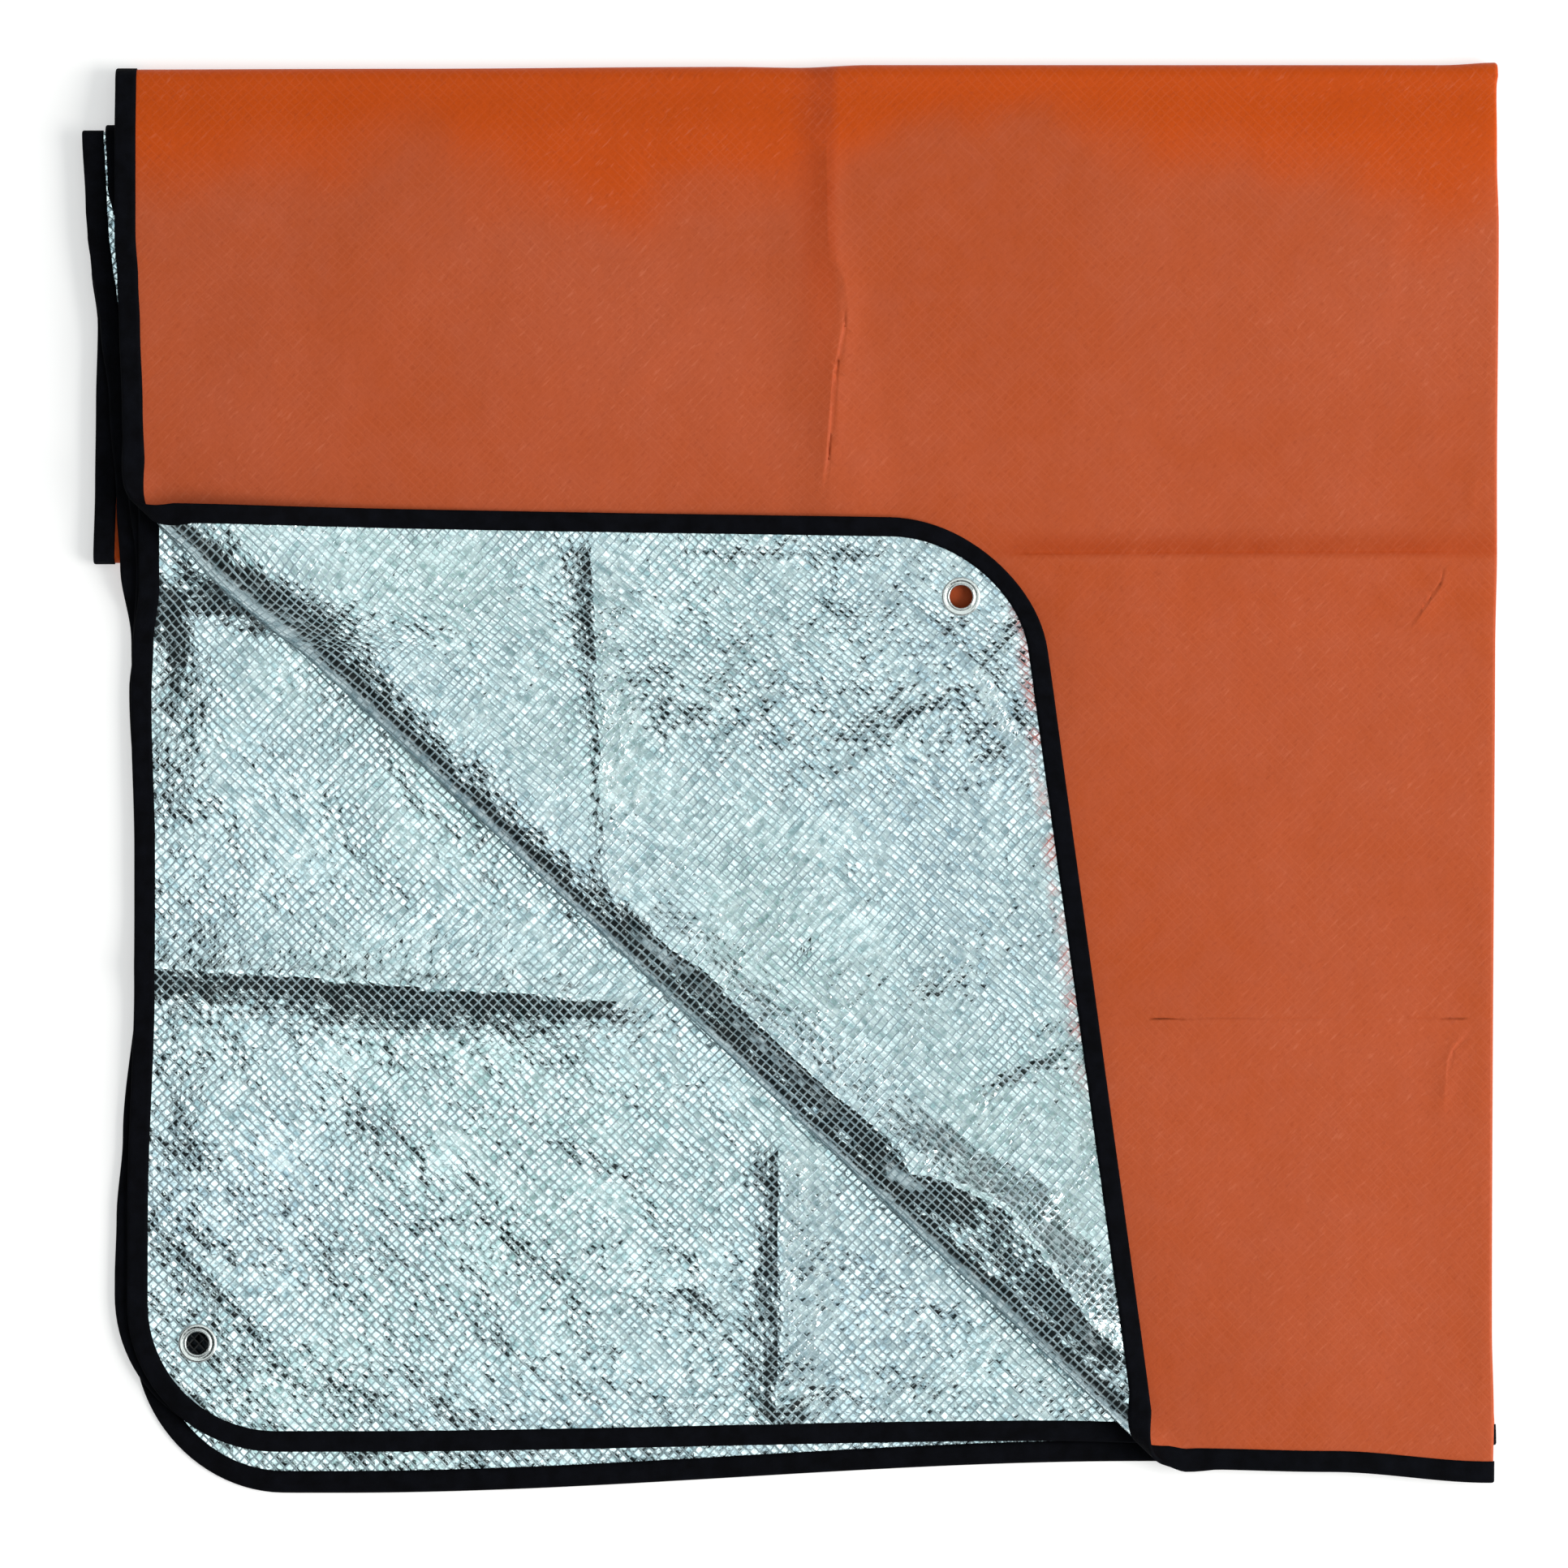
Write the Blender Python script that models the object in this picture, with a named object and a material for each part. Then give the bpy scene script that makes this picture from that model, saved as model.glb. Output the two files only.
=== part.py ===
"""Emergency foil blanket, folded up, with one corner of its top layer turned back.

The real thing is one rectangle of laminate, orange on one side and silver on
the other, with tape sewn round its edge and an eyelet set in each corner. So
the model works the same way: the sheet is drawn flat, with its rounded corners
and eyelet holes, and one function, fold(), lays any point of that flat sheet
where it lies in the folded blanket. The tape and the eyelets go through the
same function, so they follow the sheet.

Flat sheet: a runs across its width, v along its length. Half A is a < WIDTH/2
and half B the rest. The sheet is folded across its width at the right, silver
inside, and the doubled strip then runs back and forth in four panels:

  panel 1  on top, from the lower free end up to the top fold
  panel 2  back under it along the floor, down to the step
  panel 3  back up over panel 2
  panel 4  on top of panel 3, down to the lower free end and onto the floor

Lengths are in millimetres until the meshes are made. +X is to the right and
+Y to the top of the folded blanket, +Z is up.
"""
import math

import bpy
from mathutils import Vector
from mathutils.geometry import delaunay_2d_cdt

MM = 0.001

# ---- driving sizes (mm) ---------------------------------------------------
WIDTH = 1524.0            # the sheet, laid flat
LAMINATE = 1.0            # thickness of the sheet
PITCH = 3.0               # from one layer's middle to the next one's
FOLD_1 = 2 * PITCH        # radius of the doubled strip in the top fold
FOLD_2 = PITCH            # and in the two folds inside the stack
CORNER = 83.0             # radius of the sheet's corners
TAPE_WIDTH = 11.0         # edge tape, each side of the sheet
TAPE = 0.35               # its thickness
TAPE_GAP = 0.35           # between tape and sheet
LIFT = 0.8                # how far the taped edges raise the lowest layer
EYELET_HOLE = 6.25        # radii
EYELET_BARREL = 7.05
SHEET_HOLE = 7.4
EYELET_FLANGE = 10.7
FLANGE = 0.5              # thickness
FLANGE_GAP = 0.3

# ---- where the folds lie (mm) ---------------------------------------------
STEP_FOLD = 118.5         # outer end of the fold between panels 2 and 3
INNER_FOLD = 359.5        # outer end of the fold between panels 3 and 4
STEP = (71.0, 123.5)      # the upper panels come down between these two
TOP_DIP = (352.5, 385.5)  # and panel 1 dips to the top fold between these

# The turned-back corner: its fold edge runs from TURN_A to TURN_B.
TURN_A = (-348.0, 143.5)
TURN_B = (191.0, -366.0)
TURN_SHRINK = 0.868       # bias give of the laminate, square to that edge
TURN_REST = PITCH         # height over the layer under it, away from the fold
TURN_SETTLE = 110.0       # it comes down to that over this distance
BRIDGE = 95.0             # and spans the step, coming down this much further on
# radius of the soft roll along the fold edge, by the distance from TURN_A
TURN_ROLL = [(-60, 7.5), (100, 7.0), (300, 5.5), (520, 5.5), (700, 7.5), (800, 8.0)]

# Left edges of the eight layers: outer edge of the tape, x by y.
LEFT = {
    "A1": [(-375, -364.5), (-19, -365.5), (160.5, -367), (205, -368.5), (249.5, -370),
           (274.5, -371), (299.5, -372.5), (393.5, -372.5)],
    "B1": [(-372.5, -367), (-243, -366.5), (-108.5, -362.5), (-41, -362.5), (44, -364.5),
           (71, -363.5), (106.5, -359.5), (142.5, -359.5), (205, -364.5), (295, -369),
           (393.5, -372.5)],
    "A2": [(118.5, -385), (160.5, -383), (205, -380), (295, -376), (357.5, -372.5),
           (393.5, -372.5)],
    "B2": [(118.5, -369), (205, -370), (295, -371), (393.5, -372.5)],
    "A3": [(118.5, -385), (160.5, -384), (205, -383.5), (250, -382.5), (281.5, -386),
           (314.5, -389), (357.5, -391)],
    "B3": [(118.5, -369), (250, -373.5), (357.5, -378)],
    "A4": [(-395.5, -363.5), (-243, -363), (-108.5, -361.5), (-19, -362), (75.5, -364.5),
           (115.5, -370), (151.5, -372), (205, -376), (251, -381), (266, -383.5),
           (282.5, -386), (299.5, -388), (314.5, -389), (357.5, -391)],
    "B4": [(-367.5, -374.5), (-278, -373.5), (-243, -372.5), (-198, -369), (-108.5, -361),
           (-41, -361), (48.5, -365.5), (71, -363.5), (115.5, -361), (160.5, -365.5),
           (250, -369), (304.5, -372), (325, -376.5), (359.5, -378)],
}
# Right edges of the four panels: outside of the fold across the width, x by y.
RIGHT = {
    1: [(-389.5, 388), (-352.5, 388.5), (-305.5, 387.5), (160.5, 389.5), (304, 390.5),
        (339.5, 389.5), (377, 389.5), (393.5, 390.5)],
    2: [(118.5, 387), (393.5, 390.5)],
    3: [(118.5, 387), (357.5, 387)],
    4: [(-369, 389.5), (-305.5, 386.5), (118.5, 387), (357.5, 387)],
}
# Lower free ends: outer edge of the tape, y by x.
END = {
    "A1": [(-364.5, -375), (207.5, -379.5), (220, -382), (298.5, -383.5), (386, -389.5)],
    "B1": [(-366.5, -372.5), (-248, -372.5), (146, -366.5), (213, -368), (298.5, -377),
           (386, -389.5)],
    "A4": [(-363.5, -394), (-269.5, -395.5), (-248, -395.5), (191, -378), (204.5, -378),
           (386, -369)],
    "B4": [(-373.5, -367.5), (-248, -367.5), (146, -365), (235.5, -366), (386, -369)],
}
# The top fold: its outer line, y by x.
TOP = [(-372.5, 391), (-212.5, 391.5), (-33, 392.5), (5, 392), (43, 393.5), (361, 393.5),
       (390.5, 395)]

# Where the stack stands looser than PITCH: a soft mound each.
LOOSE = [
    # x, y, half length, half width, angle (degrees), share of extra height
    (0, 395, 420, 60, 0, 0.10),
    (20, 215, 170, 34, 97, 0.10),
    (300, 120, 150, 34, 0, 0.12),
    (-210, -115, 190, 45, -4, 0.30),
    (-6, -270, 130, 34, 92, 0.25),
    (250, -130, 160, 40, 0, 0.22),
    (290, -290, 150, 60, 70, 0.15),
    (-250, 250, 150, 70, 60, 0.06),
]
# Creases that stand up on the turned-back corner: soft ridges.
RIDGES = [
    # x and y of both ends, height, half width
    (-113, 160, -104, 0, 5.0, 26),
    (-104, 0, -98, -80, 4.5, 28),
    (-290, 116, -130, -25, 3.5, 22),
    (-98, -80, -10, -150, 5.0, 26),
    (-10, -150, 45, -225, 5.0, 24),
    (70, -200, 130, -240, 3.5, 20),
    (98, 56, 114, 20, 4.0, 14),
]
# Eyelets: the panel and half that each one sits in, and where it lies.
EYELETS = [
    ("eyelet_flap", "turn", 94.0, 100.0),
    ("eyelet_second", "B1", -327.5, -312.5),
    ("eyelet_third", "B4", -327.5, -312.5),
    ("eyelet_bottom", "A4", -325.0, -349.0),
]

# ---- derived sizes ---------------------------------------------------------
HALF = WIDTH / 2
REACH = HALF - math.pi * PITCH / 4           # from a side edge to the right fold
TAPE_OUT = LAMINATE / 2 + TAPE_GAP + TAPE    # outer face of the tape, from mid-sheet
TAPE_IN = LAMINATE / 2 + TAPE_GAP            # inner face
EDGE = TAPE_GAP + TAPE                       # tape outside the sheet's edge


def curve(rows, at):
    """Smooth line through the rows (key, value), straight on past its ends."""
    if at <= rows[0][0] or at >= rows[-1][0]:
        (x0, y0), (x1, y1) = (rows[0], rows[1]) if at <= rows[0][0] else (rows[-2], rows[-1])
        base = (x0, y0) if at <= rows[0][0] else (x1, y1)
        return base[1] + (y1 - y0) / (x1 - x0) * (at - base[0]) * 0.5
    for i in range(len(rows) - 1):
        (x0, y0), (x1, y1) = rows[i], rows[i + 1]
        if at <= x1:
            t = (at - x0) / (x1 - x0)
            return y0 + (y1 - y0) * t * t * (3 - 2 * t)
    return rows[-1][1]


def ease(t):
    t = min(1.0, max(0.0, t))
    return t * t * (3 - 2 * t)


def level(k):
    """Height of the middle of the doubled strip when k strips lie under it."""
    return LAMINATE / 2 + PITCH / 2 + 2 * PITCH * k


# ---- the doubled strip's path along its length ------------------------------
def drop(y):
    """Strips under panel 4: two over panels 2 and 3, none past the step."""
    return 2 * ease((y - STEP[0]) / (STEP[1] - STEP[0]))


def rise_1(y):
    return level(1 + drop(y) - ease((y - TOP_DIP[0]) / (TOP_DIP[1] - TOP_DIP[0])))


def rise_4(y):
    return level(drop(y))


def bridge(y):
    """Extra height of the turned-back corner, which spans the step in a long slope."""
    return 4 * PITCH * (ease((y - STEP[0] + BRIDGE) / (STEP[1] - STEP[0] + BRIDGE))
                        - ease((y - STEP[0]) / (STEP[1] - STEP[0])))


HALF_PAIR = (PITCH + LAMINATE) / 2
CENTRE_2 = STEP_FOLD + FOLD_2 + HALF_PAIR    # y of the fold's centre line
CENTRE_3 = INNER_FOLD - FOLD_2 - HALF_PAIR


def centre_1(x):
    return curve(TOP, x) - FOLD_1 - HALF_PAIR


PANELS = [
    # name, length along the strip
    ("1 low", 450.0), ("1 high", 314.0), ("top fold", math.pi * FOLD_1),
    ("2", 260.0), ("step fold", math.pi * FOLD_2), ("3", 230.0),
    ("inner fold", math.pi * FOLD_2), ("4 high", 281.0), ("4 low", 448.0),
]
START = {}
LENGTH = 0.0
for panel_name, panel_length in PANELS:
    START[panel_name] = LENGTH
    LENGTH += panel_length


def at(name, share):
    return START[name] + dict(PANELS)[name] * share


def strip(v, x, half, end):
    """Middle of the doubled strip at length v: panel, y, z and unit normal."""
    step = STEP[0]
    for name, length in PANELS:
        if v < START[name] + length or name == "4 low":
            break
    t = (v - START[name]) / length
    if name in ("1 low", "1 high", "4 high", "4 low"):
        if name == "1 low":
            y = end + (step - end) * t
        elif name == "1 high":
            y = step + (centre_1(x) - step) * t
        elif name == "4 high":
            y = CENTRE_3 + (step - CENTRE_3) * t
        else:
            y = step + (end - step) * t
        rise = rise_1 if name[0] == "1" else rise_4
        slope = (rise(y + 0.5) - rise(y - 0.5))
        size = math.hypot(1, slope)
        sign = 1 if name[0] == "1" else -1
        return int(name[0]), y, rise(y), -slope / size * sign, sign / size
    if name == "2":
        return 2, centre_1(x) + (CENTRE_2 - centre_1(x)) * t, level(0), 0.0, -1.0
    if name == "3":
        return 3, CENTRE_2 + (CENTRE_3 - CENTRE_2) * t, level(1), 0.0, 1.0
    angle = math.pi * t
    if name == "top fold":
        ny, nz = math.sin(angle), math.cos(angle)
        return 2, centre_1(x) + FOLD_1 * ny, level(0) + FOLD_1 + FOLD_1 * nz, ny, nz
    if name == "step fold":
        ny, nz = -math.sin(angle), -math.cos(angle)
        return 3, CENTRE_2 + FOLD_2 * ny, level(0) + FOLD_2 + FOLD_2 * nz, ny, nz
    # the inner fold bends the other way, so its normal points to its centre
    ny, nz = -math.sin(angle), math.cos(angle)
    return 4, CENTRE_3 - FOLD_2 * ny, level(1) + FOLD_2 - FOLD_2 * nz, ny, nz


# ---- across the width --------------------------------------------------------
def across(a):
    """Half, share of the way from its side edge to the right fold, extra x, offset."""
    if a <= REACH:
        return "A", a / REACH, 0.0, PITCH / 2
    if a >= WIDTH - REACH:
        return "B", (WIDTH - a) / REACH, 0.0, -PITCH / 2
    angle = (a - REACH) / (PITCH / 2)
    half = "A" if angle < math.pi / 2 else "B"
    return half, 1.0, PITCH / 2 * math.sin(angle), PITCH / 2 * math.cos(angle)


def left_of(half, panel, y):
    return curve(LEFT["%s%d" % (half, panel)], y) + EDGE


def right_of(panel, y):
    return curve(RIGHT[panel], y) - HALF_PAIR


def end_of(half, panel, share):
    row = END["%s%d" % (half, panel)]
    x = row[0][0] + (row[-1][0] - row[0][0]) * share
    return curve(row, x) + EDGE


def loose(x, y):
    """Factor on the layers' spacing: 1 or more."""
    total = 1.0
    for cx, cy, long, wide, angle, gain in LOOSE:
        c, s = math.cos(math.radians(angle)), math.sin(math.radians(angle))
        along = ((x - cx) * c + (y - cy) * s) / long
        over = (-(x - cx) * s + (y - cy) * c) / wide
        total += gain * (1 - ease(math.hypot(along, over)))
    return total


def lift(x, y):
    """The taped left and lower edges hold the lowest layer a little off the floor."""
    side = 1 - ease((x + 306) / 45)
    low = 1 - ease((y + 333) / 40)
    return LIFT * (1 - (1 - side) * (1 - low))


def settle(x, y, z):
    floor = LAMINATE / 2
    return Vector((x, y, floor + lift(x, y) + (z - floor) * loose(x, y)))


# ---- the turned-back corner ----------------------------------------------------
RUN = math.dist(TURN_A, TURN_B)
ALONG = ((TURN_B[0] - TURN_A[0]) / RUN, (TURN_B[1] - TURN_A[1]) / RUN)
TOWARD = (ALONG[1], -ALONG[0])               # square to it, toward the corner


def turn_frame(x, y):
    dx, dy = x - TURN_A[0], y - TURN_A[1]
    return dx * ALONG[0] + dy * ALONG[1], dx * TOWARD[0] + dy * TOWARD[1]


def turn_point(s, d):
    return (TURN_A[0] + s * ALONG[0] + d * TOWARD[0], TURN_A[1] + s * ALONG[1] + d * TOWARD[1])


def roll_at(s):
    return curve(TURN_ROLL, s)


def ridge_height(x, y):
    best = 0.0
    for x0, y0, x1, y1, height, wide in RIDGES:
        dx, dy = x1 - x0, y1 - y0
        t = min(1.0, max(0.0, ((x - x0) * dx + (y - y0) * dy) / (dx * dx + dy * dy)))
        gap = math.hypot(x - x0 - t * dx, y - y0 - t * dy)
        best = max(best, height * (1 - ease(gap / wide)))
    return best


def turned(x, y):
    """Where a point of panel 1's layer A goes: x, y, height over that layer, and the
    share of the bridge over the step."""
    s, d = turn_frame(x, y)
    roll = roll_at(s)
    begin = -(roll + LAMINATE / 2)
    if d <= begin:
        return x, y, 0.0, 0.0
    if d <= begin + math.pi * roll:
        angle = (d - begin) / roll
        x, y = turn_point(s, begin + roll * math.sin(angle))
        return x, y, roll * (1 - math.cos(angle)), 0.0
    back = (d - begin - math.pi * roll) * TURN_SHRINK
    x, y = turn_point(s, begin - back)
    share = ease(back / TURN_SETTLE)
    return x, y, 2 * roll * (1 - share) + (TURN_REST + ridge_height(x, y)) * share, share


# ---- the fold: flat (a, v) to the folded blanket ---------------------------------
def fold(a, v):
    half, share, bulge, offset = across(a)
    end1, end4 = end_of(half, 1, share), end_of(half, 4, share)
    end = end1 if v < START["2"] else end4
    x = -370 + 757 * share
    for _ in range(2):
        panel, y, z, ny, nz = strip(v, x, half, end)
        left, right = left_of(half, panel, y), right_of(panel, y)
        x = left + (right - left) * share
    x += bulge
    if half == "A" and v < START["top fold"]:
        x, y, above, span = turned(x, y)
        if above > 0.0:
            slope = (rise_1(y + 0.5) + span * bridge(y + 0.5)
                     - rise_1(y - 0.5) - span * bridge(y - 0.5))
            size = math.hypot(1, slope)
            z, ny, nz = rise_1(y) + span * bridge(y), -slope / size, 1 / size
            offset += above
    return settle(x, y + ny * offset, z + nz * offset)


def facing(a, v):
    """Point on the middle of the sheet and its unit normal, on the orange side."""
    e = 0.4
    along_a = fold(a + e, v) - fold(a - e, v)
    along_v = fold(a, v + e) - fold(a, v - e)
    return fold(a, v), along_a.cross(along_v).normalized()


def unfold(layer, x, y):
    """Flat (a, v) of a point that lies at x, y in panel 1 or 4."""
    if layer == "turn":
        s, d = turn_frame(x, y)
        begin = -(roll_at(s) + LAMINATE / 2)
        d = begin + math.pi * roll_at(s) + (begin - d) / TURN_SHRINK
        x, y = turn_point(s, d)
        layer = "A1"
    half, panel = layer[0], int(layer[1])
    share = (x - left_of(half, panel, y)) / (right_of(panel, y) - left_of(half, panel, y))
    end = end_of(half, panel, share)
    a = share * REACH if half == "A" else WIDTH - share * REACH
    low = (y - end) / (STEP[0] - end)
    if panel == 1:
        v = at("1 low", low) if low <= 1 else at("1 high", (y - STEP[0]) / (centre_1(x) - STEP[0]))
    else:
        v = at("4 low", 1 - low) if low <= 1 else at("4 high", (CENTRE_3 - y) / (CENTRE_3 - STEP[0]))
    return a, v


# ---- the flat pattern --------------------------------------------------------------
CORNERS = [  # centre of each rounded corner, and the angle its arc starts at
    (CORNER, CORNER, 180), (WIDTH - CORNER, CORNER, 270),
    (WIDTH - CORNER, LENGTH - CORNER, 0), (CORNER, LENGTH - CORNER, 90),
]
CORNER_STEPS = 8


def outline():
    """The sheet's edge, counter-clockwise."""
    points = []
    for ca, cv, start in CORNERS:
        for i in range(CORNER_STEPS + 1):
            angle = math.radians(start + 90 * i / CORNER_STEPS)
            points.append((ca + CORNER * math.cos(angle), cv + CORNER * math.sin(angle)))
    return points


def inside(a, v):
    da = max(CORNER - a, a - (WIDTH - CORNER), 0.0)
    dv = max(CORNER - v, v - (LENGTH - CORNER), 0.0)
    return 0 < a < WIDTH and 0 < v < LENGTH and math.hypot(da, dv) < CORNER


def inward(a, v):
    """Unit vector from a point of the edge into the sheet."""
    da = max(CORNER - a, 0.0) - max(a - (WIDTH - CORNER), 0.0)
    dv = max(CORNER - v, 0.0) - max(v - (LENGTH - CORNER), 0.0)
    size = math.hypot(da, dv)
    return da / size, dv / size


def rows():
    """Stations along the length: at the folds, the step and the free ends."""
    out = [TAPE_WIDTH + 1.5, LENGTH - TAPE_WIDTH - 1.5]
    out += [at("1 low", s) for s in (0.16, 0.30, 0.45, 0.60, 0.80, 1.0)]
    steps = 6
    high = dict(PANELS)["1 high"]
    span = (STEP[1] - STEP[0]) / (centre_1(0) - STEP[0])
    out += [at("1 high", span * i / steps) for i in range(1, steps + 1)]
    out += [at("1 high", s) for s in (0.34, 0.58, 0.8)]
    dip = (TOP_DIP[1] - TOP_DIP[0]) / high
    out += [at("1 high", 1 - dip * (1 - i / 3)) for i in range(3)]
    out += [at("top fold", i / 6) for i in range(7)]
    out += [at("2", s) for s in (0.3, 0.62)]
    out += [at("step fold", i / 6) for i in range(7)]
    out += [at("3", s) for s in (0.35, 0.68)]
    out += [at("inner fold", i / 6) for i in range(7)]
    span = (STEP[1] - STEP[0]) / (CENTRE_3 - STEP[0])
    out += [at("4 high", s) for s in (0.25, 0.5)]
    out += [at("4 high", 1 - span * i / steps) for i in range(steps, -1, -1)]
    out += [at("4 low", s) for s in (0.2, 0.40, 0.55, 0.70, 0.84)]
    return sorted(set(round(v, 4) for v in out))


def columns():
    """Stations across the width: in the loose areas and round the right fold."""
    half = [64.0, 112.0, 240.0, 380.0, 540.0, 700.0]
    round_fold = [REACH + (WIDTH - 2 * REACH) * i / 6 for i in range(7)]
    return sorted(half + round_fold + [WIDTH - a for a in half])


def turn_lines():
    """Flat lines that follow the turned-back corner's fold edge and its creases."""
    lines = []
    parts = 8
    places = [(0, -40), (0, -14)] + [(i / parts, 0) for i in range(parts + 1)]
    places += [(1, extra) for extra in (9, 20, 32, 45, 60, 78, 98, 122)]
    for turned_share, extra in places:
        line = []
        for j in range(17):
            s = -75 + (RUN + 190) * j / 16
            begin = -(roll_at(s) + LAMINATE / 2)
            x, y = turn_point(s, begin + turned_share * math.pi * roll_at(s) + extra)
            line.append(unfold("A1", x, y))
        lines.append(line)
    for x0, y0, x1, y1, height, wide in RIDGES:
        for side in (-0.55, 0, 0.55):
            size = math.hypot(x1 - x0, y1 - y0)
            ox, oy = -(y1 - y0) / size * wide * side, (x1 - x0) / size * wide * side
            lines.append([unfold("turn", x0 + ox + (x1 - x0) * t / 4, y0 + oy + (y1 - y0) * t / 4)
                          for t in range(5)])
    return lines


def circle(layer, x, y, radius, steps):
    return [unfold(layer, x + radius * math.cos(2 * math.pi * i / steps),
                   y + radius * math.sin(2 * math.pi * i / steps)) for i in range(steps)]


def crossing_stations():
    """Points of the sheet's edge, close together where the roll crosses the tape."""
    out = []
    x, y = left_of("A", 1, 150), end_of("A", 1, 0.76)
    for i in range(-6, 14):
        d = 2.9 * i
        side_y = TURN_A[1] + (d - (x - TURN_A[0]) * TOWARD[0]) / TOWARD[1]
        end_x = TURN_A[0] + (d - (y - TURN_A[1]) * TOWARD[1]) / TOWARD[0]
        out += [(0.0, unfold("A1", x, side_y)[1]), (unfold("A1", end_x, y)[0], 0.0)]
    return out


def flat_mesh():
    """Triangles of the flat pattern, and the stations along its edge."""
    points, edges = [], []

    def add(line, closed=False):
        first = len(points)
        points.extend(Vector(p) for p in line)
        edges.extend((first + i, first + i + 1) for i in range(len(line) - 1))
        if closed:
            edges.append((first + len(line) - 1, first))

    add(outline(), True)
    for p in crossing_stations():
        add([p])
    for v in rows():
        add([(-5, v), (WIDTH + 5, v)])
    for a in columns():
        add([(a, -5), (a, LENGTH + 5)])
    # the turned-back corner is curved, so it has more of both
    add([(TAPE_WIDTH + 1.5, -5), (TAPE_WIDTH + 1.5, 640)])
    for place in (40, 104, 168, 236, 310):
        add([(-5, place), (560, place)])
    for place in (165, 300, 450):
        add([(place, -5), (place, 420)])
    for line in turn_lines():
        add(line)
    holes = []
    for name, layer, x, y in EYELETS:
        hole = circle(layer, x, y, SHEET_HOLE, 16)
        holes.append((unfold(layer, x, y), [Vector(p) for p in hole]))
        add(hole, True)
        add(circle(layer, x, y, EYELET_FLANGE + 2.5, 10), True)
    flat, _, faces, *_ = delaunay_2d_cdt(points, edges, [], 0, 0.02)

    def in_hole(p):
        for centre, ring in holes:
            if math.hypot(p[0] - centre[0], p[1] - centre[1]) > 20:
                continue
            turns = 0.0
            for i, q in enumerate(ring):
                r = ring[(i + 1) % len(ring)]
                ax, ay, bx, by = q[0] - p[0], q[1] - p[1], r[0] - p[0], r[1] - p[1]
                turns += math.atan2(ax * by - ay * bx, ax * bx + ay * by)
            if abs(turns) > 3:
                return True
        return False

    keep = []
    for face in faces:
        a = sum(flat[i][0] for i in face) / 3
        v = sum(flat[i][1] for i in face) / 3
        if inside(a, v) and not in_hole((a, v)):
            p, q, r = (flat[i] for i in face)
            turn_way = (q[0] - p[0]) * (r[1] - p[1]) - (q[1] - p[1]) * (r[0] - p[0])
            keep.append(tuple(face) if turn_way > 0 else tuple(reversed(face)))
    return flat, keep


# ---- objects -------------------------------------------------------------------------
def material(name, colour, roughness, metallic):
    mat = bpy.data.materials.new(name)
    mat.use_nodes = True
    shader = mat.node_tree.nodes["Principled BSDF"]
    shader.inputs["Base Color"].default_value = (*colour, 1)
    shader.inputs["Roughness"].default_value = roughness
    shader.inputs["Metallic"].default_value = metallic
    return mat


def make(name, verts, faces, mats, parent, face_mats=None):
    mesh = bpy.data.meshes.new(name)
    mesh.from_pydata([tuple(c * MM for c in p) for p in verts], [], faces)
    for mat in mats:
        mesh.materials.append(mat)
    if face_mats:
        mesh.polygons.foreach_set("material_index", face_mats)
    mesh.shade_smooth()
    mesh.set_sharp_from_angle(angle=math.radians(35))
    mesh.update()
    obj = bpy.data.objects.new(name, mesh)
    bpy.context.collection.objects.link(obj)
    obj.parent = parent
    return obj


def border(faces):
    """Directed edges of the flat mesh that have one face, as start: end."""
    seen = {}
    for face in faces:
        for i in range(3):
            seen[(face[i], face[(i + 1) % 3])] = True
    return {i: j for i, j in seen if (j, i) not in seen}


def build_sheet(flat, faces, mats, parent):
    used = sorted({i for face in faces for i in face})
    place = {old: new for new, old in enumerate(used)}
    top, under = [], []
    for i in used:
        point, normal = facing(*flat[i])
        top.append(point + normal * LAMINATE / 2)
        under.append(point - normal * LAMINATE / 2)
    count = len(used)
    out, slots = [], []
    for face in faces:
        f = [place[i] for i in face]
        out += [tuple(f), tuple(count + i for i in reversed(f))]
        slots += [0, 1]
    for i, j in border(faces).items():
        a, b = place[i], place[j]
        out += [(a, count + a, count + b), (a, count + b, b)]
        slots += [0, 0]
    return make("blanket_sheet", top + under, out, mats, parent, slots)


def tape_section(a, v, fine):
    """Closed section of the tape at one station of the edge: eight corners, and the
    points between them where the tape crosses the fold edge."""
    ia, iv = inward(a, v)
    corners = [(TAPE_WIDTH, TAPE_OUT), (-EDGE, TAPE_OUT), (-EDGE, -TAPE_OUT),
               (TAPE_WIDTH, -TAPE_OUT), (TAPE_WIDTH, -TAPE_IN), (-TAPE_GAP, -TAPE_IN),
               (-TAPE_GAP, TAPE_IN), (TAPE_WIDTH, TAPE_IN)]
    sides = []
    for i, (inset, offset) in enumerate(corners):
        nxt = corners[(i + 1) % 8]
        parts = 3 if fine and abs(nxt[0] - inset) > 5 else 1
        sides.append([(inset + (nxt[0] - inset) * k / parts,
                       offset + (nxt[1] - offset) * k / parts) for k in range(parts)])
    section = []
    for side in sides:
        line = []
        for inset, offset in side:
            at_a, at_v = a + ia * inset, v + iv * inset
            point, normal = facing(at_a, at_v)
            line.append((point + normal * offset, (at_a, at_v)))
        section.append(line)
    return section


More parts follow.
